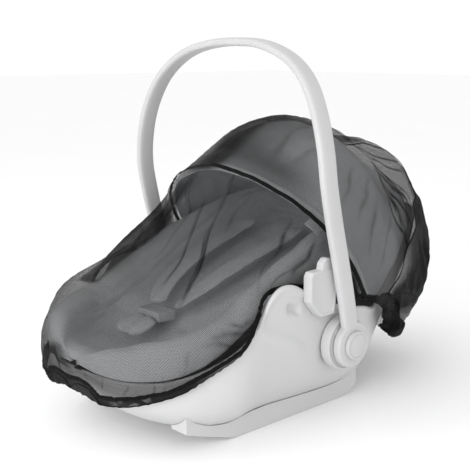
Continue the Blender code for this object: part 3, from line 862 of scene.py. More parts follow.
@dataclass
class Drape:
    """The net as one drawn surface, with its folds, how closely its cloth is bunched, and painted shade."""

    # spine y and z, hem x, y and z, side, crown, swell, reach: a row per section, from the toe
    sections: Rows = (
        (-0.3090, 0.0822, 0.012, -0.3085, 0.0820, 2.2, 2.2, 0.000, 0.000),
        (-0.3130, 0.1150, 0.064, -0.3000, 0.0730, 2.2, 2.2, 0.000, -0.001),
        (-0.3090, 0.1480, 0.100, -0.2850, 0.0775, 2.3, 2.3, 0.000, -0.001),
        (-0.2980, 0.1740, 0.128, -0.2630, 0.0850, 2.3, 2.3, 0.001, -0.001),
        (-0.2800, 0.1940, 0.150, -0.2370, 0.0965, 2.2, 2.2, 0.001, 0.000),
        (-0.2550, 0.2130, 0.168, -0.2110, 0.1130, 2.3, 2.2, 0.002, 0.000),
        (-0.2250, 0.2290, 0.181, -0.1840, 0.1290, 2.2, 2.0, 0.001, 0.000),
        (-0.1950, 0.2450, 0.187, -0.1600, 0.1430, 1.9, 1.75, 0.000, 0.000),
        (-0.1660, 0.2590, 0.187, -0.1420, 0.1600, 1.6, 1.55, 0.000, 0.000),
        (-0.1390, 0.2740, 0.185, -0.1280, 0.1840, 1.5, 1.5, 0.000, 0.000),
        (-0.1150, 0.2940, 0.174, -0.1050, 0.2060, 1.6, 1.45, 0.000, 0.000),
        (-0.0940, 0.3150, 0.171, -0.0660, 0.2110, 1.8, 1.5, 0.000, 0.000),
        (-0.0750, 0.3340, 0.171, -0.0200, 0.2030, 2.2, 1.55, 0.002, 0.000),
        (-0.0570, 0.3520, 0.176, 0.0400, 0.1850, 2.8, 1.6, 0.005, 0.000),
        (-0.0420, 0.3670, 0.186, 0.0980, 0.1680, 3.4, 1.65, 0.007, 0.000),
        (0.0660, 0.4310, 0.187, 0.1100, 0.1640, 3.0, 1.65, 0.005, 0.000),
        (0.1520, 0.4290, 0.187, 0.1220, 0.1580, 3.0, 1.75, 0.004, 0.000),
        (0.2260, 0.3980, 0.186, 0.1320, 0.1520, 2.8, 1.9, 0.004, 0.000),
        (0.3000, 0.3830, 0.184, 0.1400, 0.1440, 2.6, 1.9, 0.004, 0.000),
        (0.3520, 0.3340, 0.179, 0.1480, 0.1300, 2.4, 2.0, 0.004, 0.000),
        (0.3870, 0.2740, 0.173, 0.1640, 0.1100, 2.4, 2.1, 0.005, 0.000),
        (0.4010, 0.2080, 0.159, 0.1920, 0.0920, 2.3, 2.1, 0.005, 0.000),
        (0.3930, 0.1500, 0.130, 0.2300, 0.0760, 2.2, 2.1, 0.004, 0.000),
        (0.3680, 0.1060, 0.082, 0.2700, 0.0660, 2.1, 2.1, 0.002, 0.000),
        (0.3240, 0.0700, 0.020, 0.2960, 0.0640, 2.0, 2.0, 0.000, 0.000),
    )
    # Main folds, as on the solids: from station and share over, to the same, half width, height
    folds: Rows = (
        (12.6, 0.27, 5.2, 0.48, 0.014, 0.0040),
        (12.8, 0.39, 6.0, 0.55, 0.012, 0.0035),
        (12.9, 0.51, 7.2, 0.62, 0.012, 0.0035),
        (11.8, 0.18, 6.4, 0.33, 0.014, -0.0030),
        (12.7, 0.13, 9.4, 0.19, 0.010, 0.0030),
        (15.9, 0.33, 15.0, 0.18, 0.012, -0.0030),
        (15.6, 0.22, 14.7, 0.12, 0.011, 0.0025),
        (16.3, 0.37, 18.7, 0.25, 0.011, 0.0045),
        (16.3, 0.32, 18.7, 0.17, 0.010, 0.0045),
        (16.4, 0.26, 18.6, 0.11, 0.009, -0.0040),
        (16.3, 0.63, 18.7, 0.75, 0.011, 0.0045),
        (16.3, 0.69, 18.7, 0.83, 0.010, 0.0045),
        (3.4, 0.17, 4.4, 0.06, 0.014, 0.0030),
        (5.6, 0.17, 6.2, 0.05, 0.014, 0.0030),
        (14.42, 0.66, 14.42, 0.38, 0.020, -0.0045),
    )
    # Creases between them: the same, then how closely the cloth is bunched along each
    creases: Rows = (
        (11.4, 0.440, 6.5, 0.333, 0.0042, -0.0030, 0.66),
        (12.2, 0.395, 6.0, 0.229, 0.0046, -0.0034, 0.72),
        (10.2, 0.350, 6.4, 0.243, 0.0034, 0.0026, 0.60),
        (12.9, 0.352, 10.6, 0.286, 0.0045, -0.0016, 0.26),
        (13.2, 0.245, 11.4, 0.120, 0.0052, -0.0032, 0.56),
        (13.3, 0.175, 11.6, 0.050, 0.0046, 0.0030, 0.66),
        (12.6, 0.110, 10.4, 0.020, 0.0036, -0.0020, 0.40),
        (11.9, 0.150, 9.6, 0.040, 0.0050, 0.0018, 0.24),
        (11.2, 0.470, 7.4, 0.440, 0.0040, 0.0020, 0.30),
        (12.4, 0.520, 9.0, 0.560, 0.0050, -0.0020, 0.34),
        (12.0, 0.610, 8.6, 0.700, 0.0045, 0.0022, 0.42),
        (12.8, 0.680, 9.2, 0.820, 0.0050, -0.0024, 0.42),
        (12.6, 0.780, 9.8, 0.920, 0.0040, 0.0022, 0.46),
        (12.2, 0.580, 9.4, 0.615, 0.0060, -0.0040, 0.80),
        (11.4, 0.560, 8.6, 0.585, 0.0045, 0.0034, 0.70),
        (10.9, 0.640, 8.2, 0.560, 0.0050, -0.0036, 0.78),
        (9.8, 0.690, 7.6, 0.580, 0.0046, 0.0030, 0.70),
        (13.2, 0.860, 11.2, 0.960, 0.0036, -0.0020, 0.44),
        (6.0, 0.100, 8.0, 0.030, 0.0070, -0.0034, 0.42),
        (5.6, 0.095, 7.2, 0.018, 0.0065, 0.0030, 0.36),
        (7.2, 0.090, 8.4, 0.035, 0.0055, -0.0030, 0.40),
        (4.3, 0.050, 5.0, 0.105, 0.0040, -0.0014, 0.22),
        (0.95, 0.230, 1.3, 0.330, 0.0018, -0.0012, 0.45),
        (1.2, 0.120, 1.7, 0.200, 0.0020, -0.0012, 0.40),
        (2.0, 0.062, 2.4, 0.110, 0.0022, -0.0014, 0.42),
        (3.0, 0.030, 3.4, 0.090, 0.0024, -0.0016, 0.40),
        (3.5, 0.028, 3.7, 0.085, 0.0020, 0.0012, 0.30),
        (15.6, 0.430, 14.4, 0.400, 0.0110, -0.0034, 0.24),
        (15.2, 0.330, 14.4, 0.365, 0.0090, 0.0030, 0.16),
        (15.6, 0.285, 14.7, 0.225, 0.0070, -0.0032, 0.28),
        (15.9, 0.262, 14.9, 0.176, 0.0070, 0.0030, 0.26),
        (16.1, 0.225, 15.0, 0.100, 0.0070, -0.0034, 0.30),
        (16.6, 0.190, 15.9, 0.080, 0.0060, 0.0030, 0.28),
        (16.2, 0.352, 18.2, 0.368, 0.0048, -0.0030, 0.95),
        (16.4, 0.330, 18.2, 0.330, 0.0046, -0.0028, 0.95),
        (16.4, 0.318, 18.1, 0.250, 0.0046, -0.0030, 0.95),
        (16.5, 0.292, 18.1, 0.215, 0.0044, -0.0028, 0.95),
        (16.5, 0.271, 18.1, 0.190, 0.0044, -0.0030, 0.95),
        (16.6, 0.257, 18.2, 0.150, 0.0046, -0.0030, 0.95),
        (16.7, 0.243, 17.8, 0.130, 0.0040, 0.0024, 0.85),
        (16.3, 0.610, 18.1, 0.620, 0.0030, -0.0024, 0.66),
        (16.4, 0.660, 18.1, 0.690, 0.0028, -0.0022, 0.70),
        (16.5, 0.690, 18.1, 0.760, 0.0028, -0.0024, 0.74),
        (16.6, 0.730, 18.1, 0.830, 0.0026, -0.0022, 0.70),
        (16.4, 0.440, 18.1, 0.470, 0.0032, -0.0022, 0.50),
        (16.4, 0.540, 18.1, 0.560, 0.0032, -0.0022, 0.50),
    )
    # The net drawn tight over the back bow: station and share over
    bow_line: Rows = (
        (16.0, 0.500),
        (16.0, 0.417),
        (16.1, 0.382),
        (16.2, 0.354),
        (16.4, 0.319),
        (16.5, 0.285),
        (16.55, 0.250),
        (16.6, 0.222),
        (16.7, 0.195),
        (17.3, 0.168),
        (18.1, 0.153),
    )
    # Zones where the net is made closer: how closely, the stations between which that fades in and
    # out (from, full, full to, gone), and the same for the shares over. The first five, over the far
    # side from the toe to the hood, are painted shade where it lies in shadow; the rest are the
    # gathered cloth at the back
    zones: Rows = (
        (0.62, *FROM_START, 0.45, 0.95, 0.30, 0.50, *TO_END),
        (0.36, *FROM_START, 6.00, 8.00, 0.66, 0.78, *TO_END),
        (0.78, 0.60, 0.80, 1.60, 2.00, 0.60, 0.64, *TO_END),
        (0.80, 6.60, 8.80, 13.4, 14.0, 0.66, 0.84, *TO_END),
        (0.30, 14.2, 14.6, 15.7, 16.1, 0.36, 0.50, *TO_END),
        (0.06, 16.3, 16.7, *TO_END, 0.18, 0.24, 0.76, 0.82),
        (0.06, 17.9, 18.3, *TO_END, *FROM_START, 0.18, 0.24),
        (0.06, 17.9, 18.3, *TO_END, 0.76, 0.82, *TO_END),
        (0.18, 18.15, 18.4, *TO_END, *FROM_START, *TO_END),
        (0.9024, 18.15, 18.4, *TO_END, 0.09, 0.20, 0.35, 0.42),
        (0.9024, 18.15, 18.4, *TO_END, 0.58, 0.65, 0.80, 0.91),
    )
    # Bands along the net where it is made closer as painted shade, along the far rim and over the
    # hood's far top: how closely, the same stations, then the share over of the band's middle, its
    # half width and how square it is
    bands: Rows = (
        (0.82, 5.10, 5.30, 12.4, 13.8, 0.600, 0.062, 6),
        (0.82, 13.4, 14.2, 18.0, 18.3, 0.545, 0.050, 4),
    )
    # How closely it is bunched where it is tucked under, on the hem there, in the slack stretch of
    # the tuck, along the elastic and by the ears, and how much closer it is made behind the front bow
    # as painted shadow of the hood's padded edge
    tucked: float = 0.93
    doubled: float = 0.90
    slack: float = 0.45
    hem_bunch: float = 0.30
    ear_bunch: float = 0.10
    roll_shadow: float = 0.40
    # And how closely, how wide and how high it is drawn over the back bow
    bow_bunch: float = 0.92
    bow_line_width: float = 0.0024
    bow_line_height: float = 0.0012
    crease_sharpness: float = 0.62
    # Elastic of the front hem: station, and how far above the cut edge it lies
    elastic: Rows = ((1.0, 0.0150), (3.0, 0.0130), (5.0, 0.0100), (7.0, 0.0060), (9.0, 0.0045), (13.7, 0.0045))
    elastic_toe: float = 0.55
    # Heights of the slack cloth's waves, and of the puckers along the elastic
    wave_height: float = 0.0009
    crumple_height: float = 0.0004
    rear_height: float = 0.0016
    pucker_height: float = 0.0011
    pucker_length: float = 0.0125
    front_bow: float = 14.0
    rear_seam: float = 18.25
    # Rows drawn in each section up to a station
    fineness: Rows = ((14.0, 16), (18.25, 40), (24.0, 24))
    across: int = 361
    stations: np.ndarray = field(init=False)
    over: np.ndarray = field(init=False)
    points: np.ndarray = field(init=False)
    normals: np.ndarray = field(init=False)
    bunch: np.ndarray = field(init=False)
    lengths: np.ndarray = field(init=False)

    def __post_init__(self) -> None:
        """Draws the surface."""
        first, runs = 0.0, []
        for last, rows_each in self.fineness:
            runs.append(np.linspace(first, last, int(round((last - first) * rows_each)) + 1)[:-1])
            first = last
        self.stations = np.concatenate((*runs, [first]))
        rows = curve_through(self.sections, self.stations)
        base = np.array([arch(row, self.across) for row in rows])
        self.normals = grid_normals(base)
        self.points = base
        self.lengths = row_lengths(base)
        self.over = np.linspace(0.0, 1.0, self.across)
        self.bunch = self.bunching()
        relief = np.zeros(base.shape[:2])
        for number, fold in enumerate(self.folds):
            relief += self.ridge(fold, 1.0, number)[0]
        for number, crease in enumerate(self.creases):
            height, close = self.ridge(crease, self.crease_sharpness, number + 0.5)
            relief += height
            self.bunch = 1 - (1 - self.bunch) * (1 - close)
        taut, _ = self.near_line(self.at(*np.array(self.bow_line).T))
        self.bunch = 1 - (1 - self.bunch) * (1 - self.bow_bunch * bell(taut, self.bow_line_width))
        relief += self.bow_line_height * bell(taut, 0.004) + self.ripples()
        self.points = base + self.normals * relief[:, :, None]
        self.normals = grid_normals(self.points)

    def at(self, station: np.ndarray, over: np.ndarray, source: np.ndarray | None = None) -> np.ndarray:
        """Reads the surface at stations and shares of the way over.

        Args:
            station: the stations.
            over: as many shares.
            source: what is read, or else the surface's points.

        Returns:
            A point for each place.
        """
        grid = self.points if source is None else source
        row = np.interp(station, self.stations, np.arange(len(grid)))
        row = np.clip(row, 0, len(grid) - 1.001)
        column = np.clip(np.asarray(over, dtype=float) * (self.across - 1), 0, self.across - 1.001)
        i, j = row.astype(int), column.astype(int)
        a, b = (row - i)[..., None], (column - j)[..., None]
        low = grid[i, j] * (1 - b) + grid[i, j + 1] * b
        high = grid[i + 1, j] * (1 - b) + grid[i + 1, j + 1] * b
        return low * (1 - a) + high * a

    def near_line(self, line: np.ndarray) -> tuple[np.ndarray, np.ndarray]:
        """How far each point of the surface is from a line.

        Args:
            line: the line's points.

        Returns:
            The distances, or 1 well away from it, and how far along the line each point is.
        """
        line = evenly(line, 49)
        flat = self.points.reshape(-1, 3)
        far = np.full(len(flat), 1.0)
        share = np.zeros(len(flat))
        low, high = line.min(axis=0) - 0.06, line.max(axis=0) + 0.06
        close = np.flatnonzero(((flat > low) & (flat < high)).all(axis=1))
        best = np.full(len(close), 9.0)
        at = np.zeros(len(close))
        for number, (a, b) in enumerate(zip(line[:-1], line[1:])):
            t = np.clip(((flat[close] - a) @ (b - a)) / ((b - a) @ (b - a)), 0.0, 1.0)
            gap = np.linalg.norm(flat[close] - a - t[:, None] * (b - a), axis=1)
            nearer = gap < best
            best[nearer], at[nearer] = gap[nearer], (number + t[nearer]) / (len(line) - 1)
        far[close], share[close] = best, at
        return far.reshape(self.points.shape[:2]), share.reshape(self.points.shape[:2])

    def ridge(self, row: Sequence[float], sharpness: float, seed: float) -> tuple[np.ndarray, np.ndarray]:
        """One fold: its height, and how much closer its cloth is bunched, at each point.

        Args:
            row: from and to places, half width, height, and for a crease its bunching.
            sharpness: 1 for a soft ridge, less for one with a narrow crest.
            seed: sets its unevenness.

        Returns:
            Two arrays over the surface.
        """
        from_s, from_over, to_s, to_over, half_width, height = row[:6]
        share = np.linspace(0.0, 1.0, 25)
        sway = 0.006 * np.sin(np.pi * share * 2 + seed * 1.3) * np.sin(np.pi * share)
        line = self.at(from_s + (to_s - from_s) * share, from_over + (to_over - from_over) * share + sway)
        apart, along = self.near_line(line)
        taper = np.sin(np.pi * (0.06 + 0.88 * along)).clip(0) ** 0.6
        uneven = 1 + 0.22 * np.sin(along * 9 + seed * 2.1) + 0.12 * np.sin(along * 23 + seed)
        width = half_width * (1 + 0.25 * np.sin(along * 6 + seed))
        close = row[6] * taper * uneven * bell(apart, 0.55 * width) if len(row) > 6 else 0.0
        return height * taper * uneven * bell(apart, width, 2 * sharpness), np.clip(close, 0.0, 0.95)

    def hem_gap(self) -> np.ndarray:
        """How far each point lies from the nearer cut edge, along its section."""
        return np.minimum(self.over, 1 - self.over)[None, :] * self.lengths[:, None]

    def toe_station(self) -> np.ndarray:
        """Follows the elastic where it crosses the toe.

        Returns:
            Its station at each share over the section.
        """
        end_over = self.elastic[0][1] / np.interp(1.0, self.stations, self.lengths)
        share = np.clip(np.abs(0.5 - self.over) / (0.5 - end_over), 0.0, 1.0)
        return self.elastic_toe + (self.elastic[0][0] - self.elastic_toe) * np.sin(np.pi / 2 * share) ** 1.6

    def bunching(self) -> np.ndarray:
        """How closely the cloth is bunched before its creases, and the painted shade that closes it further.

        Returns:
            A value for each point: 0 is flat mesh and 1 is shut.
        """
        s, over = self.stations[:, None], self.over[None, :]
        gap = self.hem_gap()
        tall = np.interp(self.stations, *zip(*self.elastic))[:, None]
        hemmed = s < self.front_bow - 0.1
        under = np.where(s < 1.0, soft_step(self.toe_station()[None, :] - s, -0.06, 0.06), 0.0)
        under = np.maximum(under, soft_step(tall - gap, -0.001, 0.001) * hemmed)
        patch = soft_step(ripple(self.points, 0.022, 3.0), 0.1, 0.7) * fade(s, 1.2, 1.7, 2.6, 3.4)
        slack = self.slack * fade(s, 4.4, 6.0, 8.4, 9.4) * (1 - soft_step(over, 0.4, 0.5))
        tuck = under * (self.tucked - 0.55 * patch) * (1 - slack)
        doubled = self.doubled * soft_step(s, 8.6, 9.4) * hemmed
        doubled = doubled * soft_step(tall + 0.0025 - gap, -0.0015, 0.0015)
        hem = self.hem_bunch * np.exp(-gap / 0.010) * (s < self.front_bow)
        ear = self.ear_bunch * fade(s, 9.6, 11.6, 13.4, 14.0) * bell(gap, 0.040)
        # Behind the front bow the net is closed further: painted shadow of the hood's padded edge
        crown = self.roll_shadow * bell(s - 14.34, 0.20) * soft_step(s, 14.09, 14.13)
        crown = crown * fade(over, 0.24, 0.38, 0.62, 0.76)
        flat = (1 - tuck) * (1 - doubled) * (1 - hem) * (1 - ear) * (1 - crown)
        # Zones and bands over the far side close the net as painted shade; the rear zones are gathers
        for close, *places in self.zones:
            flat = flat * (1 - close * fade(s, *places[:4]) * fade(over, *places[4:]))
        for close, *places, middle, half_width, power in self.bands:
            flat = flat * (1 - close * fade(s, *places) * bell(over - middle, half_width, power))
        return 1 - flat

    def ripples(self) -> np.ndarray:
        """Small waviness of the cloth, and the puckers that the elastic pulls in it.

        Returns:
            A height for each point.
        """
        s = self.stations[:, None]
        soft = self.wave_height * ripple(self.points, 0.050, 1.0, (1.0, 1.6, 1.6))
        soft += self.crumple_height * ripple(self.points, 0.019, 2.0)
        along = path_length(self.points[:, 3])[:, None]
        tall = np.interp(self.stations, *zip(*self.elastic))[:, None]
        near = bell(np.maximum(self.hem_gap() - tall, 0.0), 0.010) * (s < self.front_bow)
        turn = along * 2 * np.pi
        pucker = np.sin(turn / self.pucker_length + 1.1 * np.sin(along * 61)) * np.sin(turn / 0.071 + 0.7)
        rear = soft_step(s, 18.0, 19.0) * (self.rear_height * ripple(self.points, 0.030, 4.0, (1, 1, 2.2)))
        return soft + self.pucker_height * near * pucker + rear

    def route(self, places: Rows, turn_station: float, steps: int) -> list[tuple[float, float]]:
        """A route along the near edge, round the end of the net and back along the far edge.

        Args:
            places: station, and how far above the cut edge.
            turn_station: where it crosses the spine.
            steps: places for each section.

        Returns:
            Stations and shares over the section.
        """
        first, last = places[0][0], places[-1][0]
        run = np.linspace(first, last, int(round((last - first) * steps)) + 1)
        tall = np.interp(run, *zip(*places))
        near = list(zip(run, tall / np.interp(run, self.stations, self.lengths)))
        if turn_station < last:
            near = near[::-1]
        end_station, end_over = near[-1]
        turn = []
        for share in np.linspace(1.0, -1.0, 12 * steps + 1)[1:-1]:
            station = turn_station + (end_station - turn_station) * math.sin(math.pi / 2 * abs(share)) ** 1.6
            turn.append((station, 0.5 - share * (0.5 - end_over)))
        return near + turn + [(station, 1.0 - over) for station, over in near[::-1]]

    def strip(self, route: Rows) -> tuple[np.ndarray, np.ndarray, np.ndarray]:
        """Reads the net along a route.

        Args:
            route: stations and shares over.

        Returns:
            The route's points, the net's normals and the sideways directions there.
        """
        station, over = np.array(route).T
        middle = self.at(station, over)
        normal = unit(self.at(station, over, self.normals))
        ahead = unit(np.gradient(middle, axis=0))
        return middle, normal, unit(np.cross(normal, ahead))


@dataclass
class InsectNet:
    """The net: three panels, the tapes on their seams, the elastic hem and the gathered back."""

    drape: Drape
    tape_half_width: float = 0.0035
    rear_tape_half_width: float = 0.0016
    elastic_half_width: float = 0.0032
    tape_thickness: float = 0.0014
    lift: float = 0.0007
    # Rear seam: share over, and the station it crosses
    rear_seam: Rows = (
        (0.00, 17.30),
        (0.03, 17.60),
        (0.07, 18.10),
        (0.11, 18.25),
        (0.89, 18.25),
        (0.93, 18.10),
        (0.97, 17.60),
        (1.00, 17.30),
    )
    # Gathered hem: station, and how tall the bunched roll is
    gather: Rows = ((15.4, 0.006), (16.0, 0.012), (16.8, 0.020), (18.0, 0.028), (21.5, 0.030), (23.0, 0.026))
    gather_end: float = 23.5
    gather_thick: float = 0.0090
    pleat: float = 0.0105
    crumple: float = 0.0043
    hem_thread: Colour = (0.005, 0.005, 0.0055)
    # The hem's lighter tone is a painted highlight on the lumps of the bunched roll
    hem_highlight: Colour = (0.030, 0.030, 0.031)
    mesh: Material = field(init=False)
    tape: Material = field(init=False)

    def build(self) -> None:
        """Builds and dresses every piece."""
        self.mesh = NetFinish().material()
        self.tape = TapeFinish("net_tape").material()
        front, front_span = self.panel("net_front", 0.0, self.drape.front_bow)
        hood, hood_span = self.panel("net_hood", self.drape.front_bow, self.drape.rear_seam)
        rear, rear_span = self.panel("net_rear", self.drape.rear_seam, self.drape.stations[-1])
        bow = [(self.drape.front_bow, over) for over in np.linspace(0.006, 0.994, 260)]
        over = np.linspace(0.02, 0.98, 240)
        seam = list(zip(np.interp(over, *zip(*self.rear_seam)), over))
        front_tape = self.band("front_seam_tape", bow, self.tape_half_width)
        rear_tape = self.band("rear_seam_tape", seam, self.rear_tape_half_width)
        hem = self.drape.route(self.drape.elastic, self.drape.elastic_toe, 8)
        elastic = self.band("front_hem_elastic", hem, self.elastic_half_width, 0.0006)
        edge = self.cut_edge()
        roll = self.gathered_hem()

    def panel(self, name: str, first: float, last: float) -> tuple[Part, Span]:
        """Makes one panel of the net.

        Args:
            name: its node.
            first: the station where it starts.
            last: the station where it ends.

        Returns:
            The panel and its flat size.
        """
        drape = self.drape
        rows = slice(np.abs(drape.stations - first).argmin(), np.abs(drape.stations - last).argmin() + 1)
        part = sheet_part(name, drape.points[rows])
        along, lengths = runs_down(drape.points[rows]), drape.lengths[rows]
        lay_map(part, (drape.over[None, :] - 0.5) * lengths[:, None], along)
        mark(part, "bunch", drape.bunch[rows])
        finish(part, self.mesh, "net_cloth", CARRIER, name)
        return part, cut_size(part, lengths, along, 1)

    def band(self, name: str, route: Rows, half_width: float, pucker: float = 0.0) -> Part:
        """Makes a tape or elastic that lies on the net.

        Args:
            name: its node.
            route: stations and shares over.
            half_width: half its width.
            pucker: how far it is pulled up and down, 0 for a plain tape.

        Returns:
            The piece.
        """
        middle, normal, aside = self.drape.strip(route)
        rings = []
        along = path_length(middle)[:, None]
        swell = 1 + 0.10 * np.sin(along * 2 * np.pi / 0.0061) * (pucker > 0)
        rise = self.lift + pucker * np.sin(along * 2 * np.pi / 0.0049)
        for turn in np.arange(14) * 2 * np.pi / 14:
            out = squared(math.sin(turn), 0.7) * self.tape_thickness / 2
            wide = squared(math.cos(turn), 0.45) * half_width
            rings.append(middle + aside * wide * swell + normal * (rise + self.tape_thickness / 2 + out))
        return finish(cloth_loft(name, np.stack(rings, axis=1)), self.tape, "net_tape", CARRIER, name)

    def cut_edge(self) -> Part:
        """Makes the narrow rolled hem at the net's cut edge, thicker under the toe.

        Returns:
            The piece.
        """
        route = self.drape.route(((0.9, 0.0008), (14.0, 0.0008)), 0.04, 8)
        middle, normal, _ = self.drape.strip(route)
        thin = np.array([0.0004 if station > 4.4 else 0.0009 for station, _ in route])
        part = cloth_loft("front_hem_edge", tube(middle + normal * 0.0002, thin, 8, (0, 0, 1)))
        return finish(part, self.tape, "net_tape", CARRIER)

    def gathered_hem(self) -> Part:
        """Makes the crumpled roll of cloth behind the head.

        Returns:
            The piece.
        """
        places = [(station, tall / 2) for station, tall in self.gather]
        route = self.drape.route(places, self.gather_end, 26)
        middle, normal, aside = self.drape.strip(route)
        tall = np.interp([station for station, _ in route], *zip(*self.gather))[:, None]
        along = path_length(middle)[:, None]
        rings = []
        for turn in np.linspace(0.0, np.pi, 17):
            out, wide = math.sin(turn) ** 0.8, math.cos(turn)
            skew = along + 0.010 * math.sin(2.3 * turn + 0.4)
            around = skew * 2 * np.pi
            pleat = np.sin(around / self.pleat + 1.9 * np.sin(skew * 47))
            pleat += 0.6 * np.sin(around / self.crumple + 3.0 * turn)
            lump = 1 + 0.20 * np.sin(around / 0.043 + 0.8) + 0.16 * pleat * math.sin(turn)
            thick = np.minimum(self.gather_thick, 0.5 * tall) * lump
            edge = tall / 2 * (1 + 0.10 * pleat * abs(wide))
            rings.append(middle + normal * (self.lift + thick * out) + aside * edge * wide)
        rings.append(middle + normal * self.lift)
        dense = NetFinish("net_hem", self.hem_thread, self.hem_highlight, film=0.90).material()
        part = cloth_loft("rear_hem_gather", np.stack(rings, axis=1))
        return finish(part, dense, "net_hem", CARRIER, "rear_hem_gather")


@dataclass
class Hood:
    """The light hood under the net, its padded front edge with a painted highlight, and painted light inside.
    """

    # The same values as in the net's sections, from the front bow to the rear one
    sections: Rows = (
        (-0.0360, 0.3600, 0.180, 0.0960, 0.1780, 3.4, 1.65, 0.006, 0.000),
        (0.0660, 0.4220, 0.179, 0.1100, 0.1740, 3.0, 1.65, 0.005, 0.000),
        (0.1460, 0.4200, 0.178, 0.1220, 0.1700, 3.0, 1.75, 0.004, 0.000),
        (0.2040, 0.3840, 0.176, 0.1320, 0.1680, 2.8, 1.85, 0.004, 0.000),
        (0.2600, 0.3540, 0.174, 0.1420, 0.1680, 2.6, 1.90, 0.004, 0.000),
        (0.3130, 0.3300, 0.166, 0.1540, 0.1740, 2.4, 2.00, 0.003, 0.000),
    )
    thickness: float = 0.0020
    # The padded front edge with the seam behind it, and how far the painted highlight on the strip
    # along it goes towards the painted light of the inner face
    roll_width: float = 0.013
    roll_height: float = 0.0040
    seam_depth: float = 0.0016
    edge_highlight_share: float = 0.55
    tab_reach: float = 0.014
    tab_drop: float = 0.0012
    across: int = 201
    colour: Colour = (0.56, 0.57, 0.58)
    bow_colour: Colour = (0.45, 0.46, 0.47)

    def build(self) -> None:
        """Builds and dresses the hood's cloth, its edge and its tab."""
        # The hood's inner face is painted lighter, as painted fill light where it lies in shade
        cloth = ClothFinish("hood_cloth", self.colour, painted_light_factor=1.65).material()
        places = np.linspace(0.0, len(self.sections) - 1.0, 111)
        base = np.array([arch(row, self.across) for row in curve_through(self.sections, places)])
        normals, run = grid_normals(base), runs_down(base)
        roll = self.roll_height * bell(run - self.roll_width * 0.6, self.roll_width * 0.6)
        seam = -self.seam_depth * bell(run - self.roll_width * 1.6, 0.0022)
        sag = 0.0012 * ripple(base, 0.075, 6.0, (1.0, 1.0, 1.8)) + 0.0005 * ripple(base, 0.030, 7.0)
        points = base + normals * (roll + seam + sag)[:, :, None]
        part = sheet_part("hood_cloth", points, self.thickness, -normals)
        # Painted highlight on the outer face along the padded edge, and painted light over all the inner face
        edge_highlight = self.edge_highlight_share * (1 - soft_step(run, 0.0115, 0.0135))
        mark(part, "inside", np.concatenate((edge_highlight.ravel(), np.ones(edge_highlight.size))))
        lengths = row_lengths(base)
        lay_map(part, (np.linspace(0.0, 1.0, self.across)[None, :] - 0.5) * lengths[:, None], run)
        finish(part, cloth, "hood_cloth", CARRIER, "hood_cloth")
        tab = self.tab(points, normals, cloth)
        bows = ["hood_bow_front", "hood_bow_rear"]
        cut_size(part, lengths, run, 2)
        rod = PlasticFinish("bow_rod", self.bow_colour).material()
        for name in bows:
            keep_node(name, rod)

    def tab(self, points: np.ndarray, normals: np.ndarray, cloth: Material) -> Part:
        """Makes the small cloth tab on the hood's front edge.

        Args:
            points: the hood's outer face.
            normals: its normals.
            cloth: its finish.

        Returns:
            The tab.
        """
        columns = np.arange(40, 49)
        edge, out = points[0, columns], normals[0, columns]
        ahead = unit(points[1, columns] - points[0, columns])
        steps = np.linspace(-self.tab_reach, 0.002, 7)[:, None, None]
        grid = edge[None] + ahead[None] * steps - out[None] * self.tab_drop
        part = sheet_part("hood_tab", grid, 0.0009, -out[None].repeat(len(steps), axis=0))
        lay_map(part, grid[..., 0], grid[..., 1])
        return finish(part, cloth, "hood_cloth", CARRIER)


